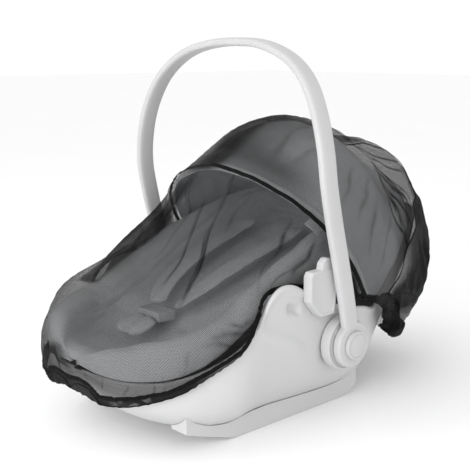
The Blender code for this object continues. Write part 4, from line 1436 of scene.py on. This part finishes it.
@dataclass
class Seat:
    """The padded seat and its harness."""

    # y, half width, edge z, rim z, half width of the pit, pit z: a row per section, from the toe
    sections: Rows = (
        (-0.3030, 0.0120, 0.1180, 0.1240, 0.006, 0.1230),
        (-0.2970, 0.0600, 0.1130, 0.1380, 0.030, 0.1330),
        (-0.2800, 0.0970, 0.1110, 0.1510, 0.052, 0.1340),
        (-0.2530, 0.1260, 0.1120, 0.1600, 0.074, 0.1240),
        (-0.2200, 0.1490, 0.1205, 0.1660, 0.094, 0.1200),
        (-0.1850, 0.1610, 0.1360, 0.1730, 0.108, 0.1260),
        (-0.1500, 0.1640, 0.1540, 0.1840, 0.116, 0.1400),
        (-0.1050, 0.1620, 0.1780, 0.2080, 0.118, 0.1640),
        (-0.0500, 0.1610, 0.1920, 0.2360, 0.116, 0.1900),
        (0.0100, 0.1600, 0.1980, 0.2600, 0.112, 0.2120),
        (0.0700, 0.1560, 0.2000, 0.2800, 0.106, 0.2320),
        (0.1300, 0.1490, 0.2050, 0.2960, 0.100, 0.2520),
        (0.1900, 0.1360, 0.2180, 0.3020, 0.092, 0.2700),
        (0.2400, 0.1240, 0.2360, 0.3000, 0.080, 0.2810),
        (0.2850, 0.1050, 0.2540, 0.2950, 0.060, 0.2850),
        (0.3150, 0.0780, 0.2700, 0.2910, 0.036, 0.2860),
        (0.3280, 0.0300, 0.2820, 0.2890, 0.012, 0.2880),
    )
    # Its rolled rim: share of the roll's width outside the pit, and of the rise from edge to rim
    roll: Rows = ((1.0, 0.0), (0.98, 0.55), (0.78, 0.93), (0.50, 1.0))
    # Its pit: share of the roll's width, of the pit's half width, and of the drop to the pit
    pit: Rows = ((0.20, 1.0, 0.12), (0.0, 1.0, 0.45), (0.0, 0.86, 0.80), (0.0, 0.50, 0.97), (0.0, 0.0, 1.0))
    thickness: float = 0.0070
    # How the rim is fuller or flatter than the sections: share over, height and width
    swells: Rows = ((0.81, 0.0130, 0.085), (0.20, -0.0040, 0.060))
    # Shares over of the rim's seams, and the places along the seat of its quilting
    seams: Sequence[float] = (0.235, 0.765)
    quilting: Sequence[float] = (-0.150, -0.040, 0.075, 0.165)
    seam_depth: float = 0.0022
    seam_puff: float = 0.0016
    quilting_depth: float = 0.0024
    across: int = 181
    # Middle of a shoulder strap from the back rest down, x, y and z, and its half width
    strap: Rows = (
        (0.0520, 0.0850, 0.2620, 0.017),
        (0.0520, 0.0450, 0.2490, 0.018),
        (0.0500, -0.0100, 0.2330, 0.019),
        (0.0450, -0.0650, 0.2130, 0.019),
        (0.0360, -0.1100, 0.1900, 0.017),
        (0.0220, -0.1400, 0.1680, 0.013),
    )
    strap_thickness: float = 0.0062
    cuff_swell: Sequence[float] = (0.10, 0.10, 0.55)
    # Middle of the pad between the legs, from the buckle to its front, and its half width
    crotch: Rows = (
        (0.0, -0.1750, 0.1570, 0.026),
        (0.0, -0.1900, 0.1540, 0.032),
        (0.0, -0.2050, 0.1490, 0.031),
        (0.0, -0.2170, 0.1420, 0.025),
    )
    crotch_thickness: float = 0.0120
    lobe_length: float = 0.0110
    cleft_depth: float = 0.0042
    liner_colour: Colour = (0.68, 0.69, 0.70)
    strap_colour: Colour = (0.65, 0.66, 0.67)
    buckle_colour: Colour = (0.60, 0.61, 0.62)
    harness: Material = field(init=False)

    def build(self) -> None:
        """Builds and dresses the liner, the straps, the pad and the buckle."""
        self.harness = ClothFinish("harness_cloth", self.strap_colour, 0.0009).material()
        self.build_liner()
        for side in Side:
            self.build_strap(side)
        self.build_crotch_pad()
        self.build_buckle()

    def section(self, row: Sequence[float], count: int) -> np.ndarray:
        """Draws one section of the liner: outer edge, rolled rim, pit, and back.

        Args:
            row: its values in the table.
            count: the number of points.

        Returns:
            The section's points.
        """
        y, half_width, edge_z, rim_z, pit_half_width, pit_z = row
        roll = half_width - pit_half_width
        half = [(pit_half_width + out * roll, edge_z + rise * (rim_z - edge_z)) for out, rise in self.roll]
        for out, share, drop in self.pit:
            half.append((share * pit_half_width + out * roll, rim_z - drop * (rim_z - pit_z)))
        whole = np.array(half + [(-x, z) for x, z in half[-2::-1]])
        smooth = curve_through(whole, np.linspace(0.0, len(whole) - 1.0, 241))
        return evenly(np.stack((smooth[:, 0], np.full(len(smooth), y), smooth[:, 1]), axis=1), count)

    def build_liner(self) -> None:
        """Makes the padded liner with its sewn channels and soft creases."""
        places = np.linspace(0.0, len(self.sections) - 1.0, 161)
        base = np.array([self.section(row, self.across) for row in curve_through(self.sections, places)])
        normals = grid_normals(base)
        over = np.linspace(0.0, 1.0, self.across)[None, :]
        y = base[..., 1]
        lengths = row_lengths(base)[:, None]
        relief = 0.0010 * ripple(base, 0.060, 8.0) + 0.0004 * ripple(base, 0.021, 9.0)
        for share, height, width in self.swells:
            relief += height * bell(over - share, width) * fade(y, -0.303, -0.270, -0.150, -0.090)
        for share in self.seams:
            gap = np.abs(over - share) * lengths
            seam = self.seam_puff * bell(gap - 0.009, 0.006) - self.seam_depth * bell(gap, 0.0030)
            relief += seam * soft_step(y, -0.28, -0.22)
        for place in self.quilting:
            curve = place + 0.012 * np.cos((over - 0.5) * 9)
            relief -= self.quilting_depth * bell(y - curve, 0.0032) * bell(over - 0.5, 0.22, 6)
        points = base + normals * relief[:, :, None]
        part = sheet_part("seat_liner", points, self.thickness, -normals)
        lay_map(part, (over - 0.5) * lengths, runs_down(base))
        cloth = ClothFinish("liner_cloth", self.liner_colour).material()
        finish(part, cloth, "liner_cloth", CARRIER, "seat_liner")

    def pad_rings(self, rows: Rows, thickness: float, side: int, ends: float, count: int) -> np.ndarray:
        """Rings of a padded strap whose ends are round and whose edges are sewn flat.

        Args:
            rows: middle x, y, z and half width.
            thickness: at its middle.
            side: 1 near or -1 far.
            ends: the length of each rounded end, as a share.
            count: the number of rings.

        Returns:
            The rings.
        """
        share = np.linspace(0.0, 1.0, count)
        table = curve_through(rows, share * (len(rows) - 1))
        middle = table[:, :3] * (side, 1, 1)
        aside, above = line_frame(middle, (0, 0, 1))
        close = np.clip(np.minimum(share, 1 - share) / ends, 0.0, 1.0)
        round_end = np.sqrt(1 - (1 - close) ** 2).clip(0.12)[:, None]
        half = aside * table[:, 3:4] * round_end
        rise = above * thickness / 2 * round_end**0.6
        rings = []
        for turn in (np.arange(30) + 0.5) * 2 * np.pi / 30:
            wide = math.cos(turn)
            puff = squared(math.sin(turn), 0.8) * (1 - 0.30 * bell(abs(wide) - 0.80, 0.07))
            rings.append(middle + half * wide + rise * puff)
        return np.stack(rings, axis=1)

    def build_strap(self, side: Side) -> None:
        """Makes one shoulder strap, with a thicker cuff near its upper end.

        Args:
            side: its side.
        """
        rings = self.pad_rings(self.strap, self.strap_thickness, side.value, 0.05, 120)
        middle = rings.mean(axis=1, keepdims=True)
        cuff = bell(np.linspace(0.0, 1.0, len(rings)) - 0.10, 0.045, 4)[:, None, None]
        rings = middle + (rings - middle) * (1 + cuff * self.cuff_swell)
        rings[..., 2] += 0.0005 * ripple(rings, 0.030, 2.0 + side.value)
        name = f"shoulder_strap_{side.word}"
        part = finish(cloth_loft(name, rings), self.harness, "harness_cloth", CARRIER, name)

    def build_crotch_pad(self) -> None:
        """Makes the pad between the legs, with two lobes and a cleft."""
        rings = self.pad_rings(self.crotch, self.crotch_thickness, 1, 0.22, 70)
        middle = rings.mean(axis=1, keepdims=True)
        wide = (rings[..., 0] - middle[..., 0]) / self.crotch[2][3]
        share = np.linspace(0.0, 1.0, len(rings))[:, None]
        lobe = np.sqrt(1 - np.clip((np.abs(wide) - 0.5) / 0.5, -1.0, 1.0) ** 2)
        rings[..., 1] += self.lobe_length * (1 - lobe) * soft_step(share, 0.30, 1.0)
        rings[..., 2] -= self.cleft_depth * bell(wide, 0.16) * (rings[..., 2] > middle[..., 2])
        part = finish(cloth_loft("crotch_pad", rings), self.harness, "harness_cloth", CARRIER, "crotch_pad")

    def build_buckle(self) -> None:
        """Makes the buckle with its sunk button."""
        low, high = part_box("buckle")
        part = add_box((low + high) / 2, high - low)
        sink_rings(part, Vector((0, 0, 1)), ((0.0050, -0.0016), (0.0015, 0.0010)))
        soften_edges(part, 0.0018)
        plastic = PlasticFinish("buckle_plastic", self.buckle_colour, 0.40).material()
        finish(part, plastic, "buckle_plastic", CARRIER, "buckle")


@dataclass
class Carrier:
    """The moulded carrier: shell, runners, belt guides and hub housings."""

    # y, half width, rim z, bottom z, squareness: a row per section, from the toe
    sections: Rows = (
        (-0.2970, 0.0100, 0.1090, 0.1040, 2.4),
        (-0.2900, 0.0540, 0.1080, 0.0900, 2.6),
        (-0.2730, 0.0930, 0.1070, 0.0640, 2.8),
        (-0.2480, 0.1260, 0.1090, 0.0420, 3.1),
        (-0.2180, 0.1520, 0.1180, 0.0270, 3.4),
        (-0.1880, 0.1690, 0.1310, 0.0180, 3.6),
        (-0.1650, 0.1780, 0.1430, 0.0140, 3.7),
        (-0.1450, 0.1820, 0.1560, 0.0120, 3.8),
        (-0.1300, 0.1825, 0.1700, 0.0110, 3.8),
        (-0.1180, 0.1825, 0.1850, 0.0110, 3.8),
        (-0.1050, 0.1825, 0.2050, 0.0110, 3.8),
        (-0.0850, 0.1825, 0.2190, 0.0110, 3.8),
        (-0.0600, 0.1825, 0.2190, 0.0110, 3.8),
        (-0.0340, 0.1825, 0.2060, 0.0110, 3.8),
        (0.0050, 0.1825, 0.1880, 0.0110, 3.8),
        (0.0400, 0.1815, 0.1720, 0.0110, 3.8),
        (0.0750, 0.1795, 0.1620, 0.0110, 3.8),
        (0.1050, 0.1765, 0.1560, 0.0140, 3.8),
        (0.1280, 0.1710, 0.1490, 0.0240, 3.7),
        (0.1500, 0.1630, 0.1520, 0.0430, 3.5),
        (0.1950, 0.1500, 0.1860, 0.0760, 3.1),
        (0.2450, 0.1380, 0.2280, 0.1100, 2.8),
        (0.2950, 0.1200, 0.2600, 0.1500, 2.6),
        (0.3350, 0.0900, 0.2740, 0.2080, 2.5),
        (0.3560, 0.0200, 0.2800, 0.2700, 2.4),
    )
    wall: float = 0.0040
    # The rolled rim, the ridge on each flank and the belt slot in each ear
    rim_height: float = 0.0020
    ridge_height: float = 0.0030
    slot_depth: float = 0.0060
    # Belt guide: y and z of the block's and the peg's corners, and the sunk field in its face
    block: Rows = (
        (-0.0180, 0.1680),
        (-0.0300, 0.1800),
        (-0.0400, 0.1920),
        (-0.0400, 0.2280),
        (-0.0360, 0.2345),
        (0.0110, 0.2360),
        (0.0150, 0.2000),
        (0.0100, 0.1680),
    )
    peg: Rows = (
        (-0.0190, 0.2300),
        (-0.0150, 0.2450),
        (-0.0080, 0.2510),
        (-0.0010, 0.2510),
        (0.0080, 0.2440),
        (0.0100, 0.2300),
    )
    field_rings: Rows = ((0.0040, -0.0008),)
    colour: Colour = (0.525, 0.525, 0.53)
    plastic: Material = field(init=False)

    def build(self) -> None:
        """Builds and dresses the shell and what is fixed to it."""
        self.plastic = PlasticFinish("shell_plastic", self.colour).material()
        self.build_shell()
        for side in Side:
            self.build_guide(side)
            self.build_housing(side)
            keep_node(f"runner_{side.word}", self.plastic)

    def section(self, row: Sequence[float], count: int) -> np.ndarray:
        """Draws one section of the shell, from the near rim under the belly to the far rim.

        Args:
            row: its values in the table.
            count: the number of points.

        Returns:
            The section's points.
        """
        y, half_width, rim_z, bottom_z, squareness = row
        turn = np.linspace(0.0, np.pi, 481)
        across = half_width * squared(np.cos(turn), 2 / squareness)
        height = rim_z - (rim_z - bottom_z) * np.sin(turn).clip(0.0) ** (2 / squareness)
        return evenly(np.stack((across, np.full_like(across, y), height), axis=1), count)

    def build_shell(self) -> None:
        """Makes the bucket with its rim, its side ridge and the slot in each ear."""
        places = np.linspace(0.0, len(self.sections) - 1.0, 193)
        base = np.array([self.section(row, 161) for row in curve_through(self.sections, places)])
        inward = grid_normals(base)
        y, z, side = base[..., 1], base[..., 2], np.abs(base[..., 0])
        over = np.linspace(0.0, 1.0, base.shape[1])[None, :]
        gap = np.minimum(over, 1 - over) * row_lengths(base)[:, None]
        rim = bell(gap - 0.005, 0.0045, 4)
        ridge = bell(z - 0.150 + 0.55 * (y + 0.090), 0.009) * soft_step(side, 0.150, 0.170)
        ridge *= fade(y, -0.145, -0.115, -0.055, -0.025)
        slot = bell(y + 0.058, 0.012, 6) * bell(z - 0.184 + 0.35 * (y + 0.058), 0.0065, 6) * (side > 0.15)
        relief = self.rim_height * rim + self.ridge_height * ridge - self.slot_depth * slot
        points = base - inward * relief[:, :, None]
        part = sheet_part("shell", points[:, ::-1], self.wall, inward[:, ::-1])
        lay_map(part, points[:, ::-1, 1], points[:, ::-1, 2])
        finish(part, self.plastic, "shell_plastic", CARRIER, "shell")

    def build_guide(self, side: Side) -> None:
        """Makes one belt guide: a block with a sunk field in its outer face, and the peg on it.

        Args:
            side: its side.
        """
        name = f"belt_guide_{side.word}"
        low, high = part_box(name)
        near, far = sorted((abs(low.x), abs(high.x)))
        part = cut_block(self.block, side, (near, far))
        peg = cut_block(self.peg, side, (near + 0.0025, far - 0.0010))
        sink_rings(part, side.outward, self.field_rings)
        unite(part, peg)
        soften_edges(part, 0.0014)
        finish(part, self.plastic, "shell_plastic", CARRIER, name)

    def build_housing(self, side: Side) -> None:
        """Makes one round housing that the handle turns on.

        Args:
            side: its side.
        """
        name = f"hub_housing_{side.word}"
        part = hub_disc(name, side, 0.0018, ((0.0030, -0.0010), (0.0040, 0.0008)))
        finish(part, self.plastic, "shell_plastic", CARRIER, name)


def unite(part: Part, added: Part) -> None:
    """Joins one solid to another.

    Args:
        part: the solid that stays.
        added: the solid that is joined to it.
    """
    union = part.modifiers.new("join", "BOOLEAN")
    union.operation, union.solver, union.object = "UNION", "EXACT", added
    apply_modifiers(part)
    bpy.data.objects.remove(added)


def cut_block(outline: Rows, side: Side, reach: Sequence[float]) -> Part:
    """Makes a block by cutting a box to a convex outline.

    Args:
        outline: y and z of its corners, in the drawing.
        side: the side that it is on.
        reach: its least and greatest distance from the middle.

    Returns:
        The block.
    """
    corners = np.array(outline) - (MIDDLE_Y, 0.0)
    low, high = corners.min(axis=0), corners.max(axis=0)
    middle = ((reach[0] + reach[1]) / 2 * side.value, *(low + high) / 2)
    part = add_box(middle, (reach[1] - reach[0], *(high - low)))
    inside = Vector((0.0, *corners.mean(axis=0)))
    for a, b in zip(corners, np.roll(corners, -1, axis=0)):
        if min(abs(b - a)) < 1e-6:
            continue
        outward = Vector((0.0, -(b - a)[1], (b - a)[0])).normalized()
        if outward.dot(inside - Vector((0.0, *a))) > 0:
            outward.negate()
        only(part)
        bpy.ops.object.mode_set(mode="EDIT")
        bpy.ops.mesh.select_all(action="SELECT")
        bpy.ops.mesh.bisect(plane_co=(0.0, *a), plane_no=outward, use_fill=True, clear_outer=True)
        bpy.ops.object.mode_set(mode="OBJECT")
    return part


def hub_disc(name: str, side: Side, edge: float, steps: Rows) -> Part:
    """Makes a disc in the place of a node, with rings sunk in its outer face.

    Args:
        name: the node.
        side: which way its outer face points.
        edge: the rounding of its edges.
        steps: the inset of each ring, and how far out it is moved.

    Returns:
        The disc.
    """
    low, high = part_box(name)
    part = add_disc((low + high) / 2, (high.z - low.z) / 2, high.x - low.x)
    sink_rings(part, side.outward, steps)
    soften_edges(part, edge, 35)
    return part


@dataclass
class CarryHandle:
    """The swinging handle: one arch with a disc at each end, and a cap over each disc."""

    # Half the arch's centre line from the hub's axis to the top: x, y and z
    half: Rows = (
        (0.2078, 0.0380, 0.1180),
        (0.2078, 0.0260, 0.1800),
        (0.2078, 0.0110, 0.2400),
        (0.2074, -0.0040, 0.2980),
        (0.2060, -0.0150, 0.3520),
        (0.2000, -0.0170, 0.4030),
        (0.1860, -0.0150, 0.4500),
        (0.1620, -0.0100, 0.4920),
        (0.1290, -0.0050, 0.5210),
        (0.0890, -0.0020, 0.5390),
        (0.0450, 0.0040, 0.5480),
        (0.0000, 0.0050, 0.5500),
    )
    thick: float = 0.0130
    depth: float = 0.0300
    corner: float = 0.62
    disc_radius: float = 0.0340
    disc_rounding: float = 0.0030
    disc_inset: float = 0.0004
    colour: Colour = (0.50, 0.50, 0.505)

    def build(self) -> None:
        """Builds and dresses the handle and its caps."""
        plastic = PlasticFinish("handle_plastic", self.colour, 0.38).material()
        part = loft_part("handle", self.rings())
        for side in Side:
            unite(part, self.disc(side))
        only(part)
        bpy.ops.object.shade_smooth_by_angle(angle=SMOOTH_ANGLE)
        finish(part, plastic, "handle_plastic", HANDLE, "handle")
        for side in Side:
            name = f"hub_cap_{side.word}"
            cap = hub_disc(name, side, 0.0015, ((0.0030, -0.0008), (0.0012, 0.0006)))
            finish(cap, plastic, "handle_plastic", HANDLE, name)

    def rings(self) -> np.ndarray:
        """Draws the arch from one hub to the other.

        Returns:
            Its rings.
        """
        half = np.array(self.half)
        whole = np.concatenate((half, half[-2::-1] * (-1, 1, 1)))
        line = evenly(curve_through(whole, np.linspace(0.0, len(whole) - 1.0, 600)), 150)
        aside, deep = line_frame(line, (0.0, 1.0, 0.0))
        turns = (np.arange(28) + 0.5) * 2 * np.pi / 28
        across = squared(np.cos(turns), self.corner) * self.thick / 2
        along = squared(np.sin(turns), self.corner) * self.depth / 2
        return np.stack([line + aside * a + deep * b for a, b in zip(across, along)], axis=1)

    def disc(self, side: Side) -> Part:
        """Makes the disc at one end of the arch.

        Args:
            side: its side.

        Returns:
            The disc.
        """
        x, y, z = self.half[0]
        part = add_disc((side.value * x, y - MIDDLE_Y, z), self.disc_radius, self.thick - self.disc_inset)
        soften_edges(part, self.disc_rounding)
        return part


@dataclass
class Studio:
    """A white floor, soft light and the camera."""

    azimuth: float = 47.0
    elevation: float = 11.5
    distance: float = 1.4414
    aim_z: float = 0.2545
    lens: float = 70.66
    sky: float = 1.01
    # Each lamp's name, place, size and power
    lamps: Sequence[tuple[str, Sequence[float], float, float]] = (
        ("key", (-0.9, -1.5, 2.1), 1.6, 6.0),
        ("front", (0.5, -2.1, 0.60), 1.0, 22.0),
        ("side", (2.2, -0.6, 1.2), 1.4, 5.0),
    )
    lit: Sequence[float] = (0.0, 0.0, 0.2)

    def build(self) -> None:
        """Builds the floor, the lights and the camera."""
        bpy.context.scene.view_settings.view_transform = "Standard"
        self.floor()
        world = bpy.data.worlds.new("studio")
        bpy.context.scene.world = world
        world.use_nodes = True
        sky = world.node_tree.nodes["Background"]
        sky.inputs["Color"].default_value = (1, 1, 1, 1)
        sky.inputs["Strength"].default_value = self.sky
        for lamp in self.lamps:
            self.hang(*lamp)
        self.camera()

    def floor(self) -> None:
        """Lays the floor."""
        bpy.ops.object.select_all(action="DESELECT")
        bpy.ops.mesh.primitive_plane_add(size=30.0, location=(0, 0, -0.0005))
        floor = bpy.context.active_object
        floor.name = "floor"
        graph = Graph("floor")
        tone = graph.blend(graph.noise(1.5), (0.94, 0.94, 0.94), (0.97, 0.97, 0.97))
        graph.dress(Base_Color=tone, Roughness=0.9, Specular_IOR_Level=0.1)
        floor.data.materials.append(graph.material)
        place_in_mesh(floor)

    def hang(self, name: str, place: Sequence[float], size: float, power: float) -> None:
        """Hangs a soft square lamp that faces the carrier.

        Args:
            name: its name.
            place: where it hangs.
            size: the length of its sides.
            power: its power in watts.
        """
        data = bpy.data.lights.new(name, "AREA")
        data.size, data.energy = size, power
        lamp = bpy.data.objects.new(name, data)
        lamp.location = place
        lamp.rotation_euler = (Vector(self.lit) - Vector(place)).to_track_quat("-Z", "Y").to_euler()
        bpy.context.scene.collection.objects.link(lamp)

    def camera(self) -> None:
        """Places the camera."""
        a, e = math.radians(self.azimuth), math.radians(self.elevation)
        back = Vector((math.sin(a) * math.cos(e), -math.cos(a) * math.cos(e), math.sin(e)))
        data = bpy.data.cameras.new("camera")
        data.lens, data.sensor_width = self.lens, 36.0
        camera = bpy.data.objects.new("camera", data)
        camera.location = Vector((0.0, -MIDDLE_Y, self.aim_z)) + back * self.distance
        camera.rotation_euler = (-back).to_track_quat("-Z", "Y").to_euler()
        bpy.context.scene.collection.objects.link(camera)
        bpy.context.scene.camera = camera


def main() -> None:
    """Builds the whole scene round the frame."""
    logging.basicConfig(level=logging.INFO, format="%(message)s")
    bpy.ops.object.select_all(action="DESELECT")
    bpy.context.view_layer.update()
    Studio().build()
    Carrier().build()
    CarryHandle().build()
    Seat().build()
    Hood().build()
    InsectNet(Drape()).build()


if __name__ == "__main__":
    main()
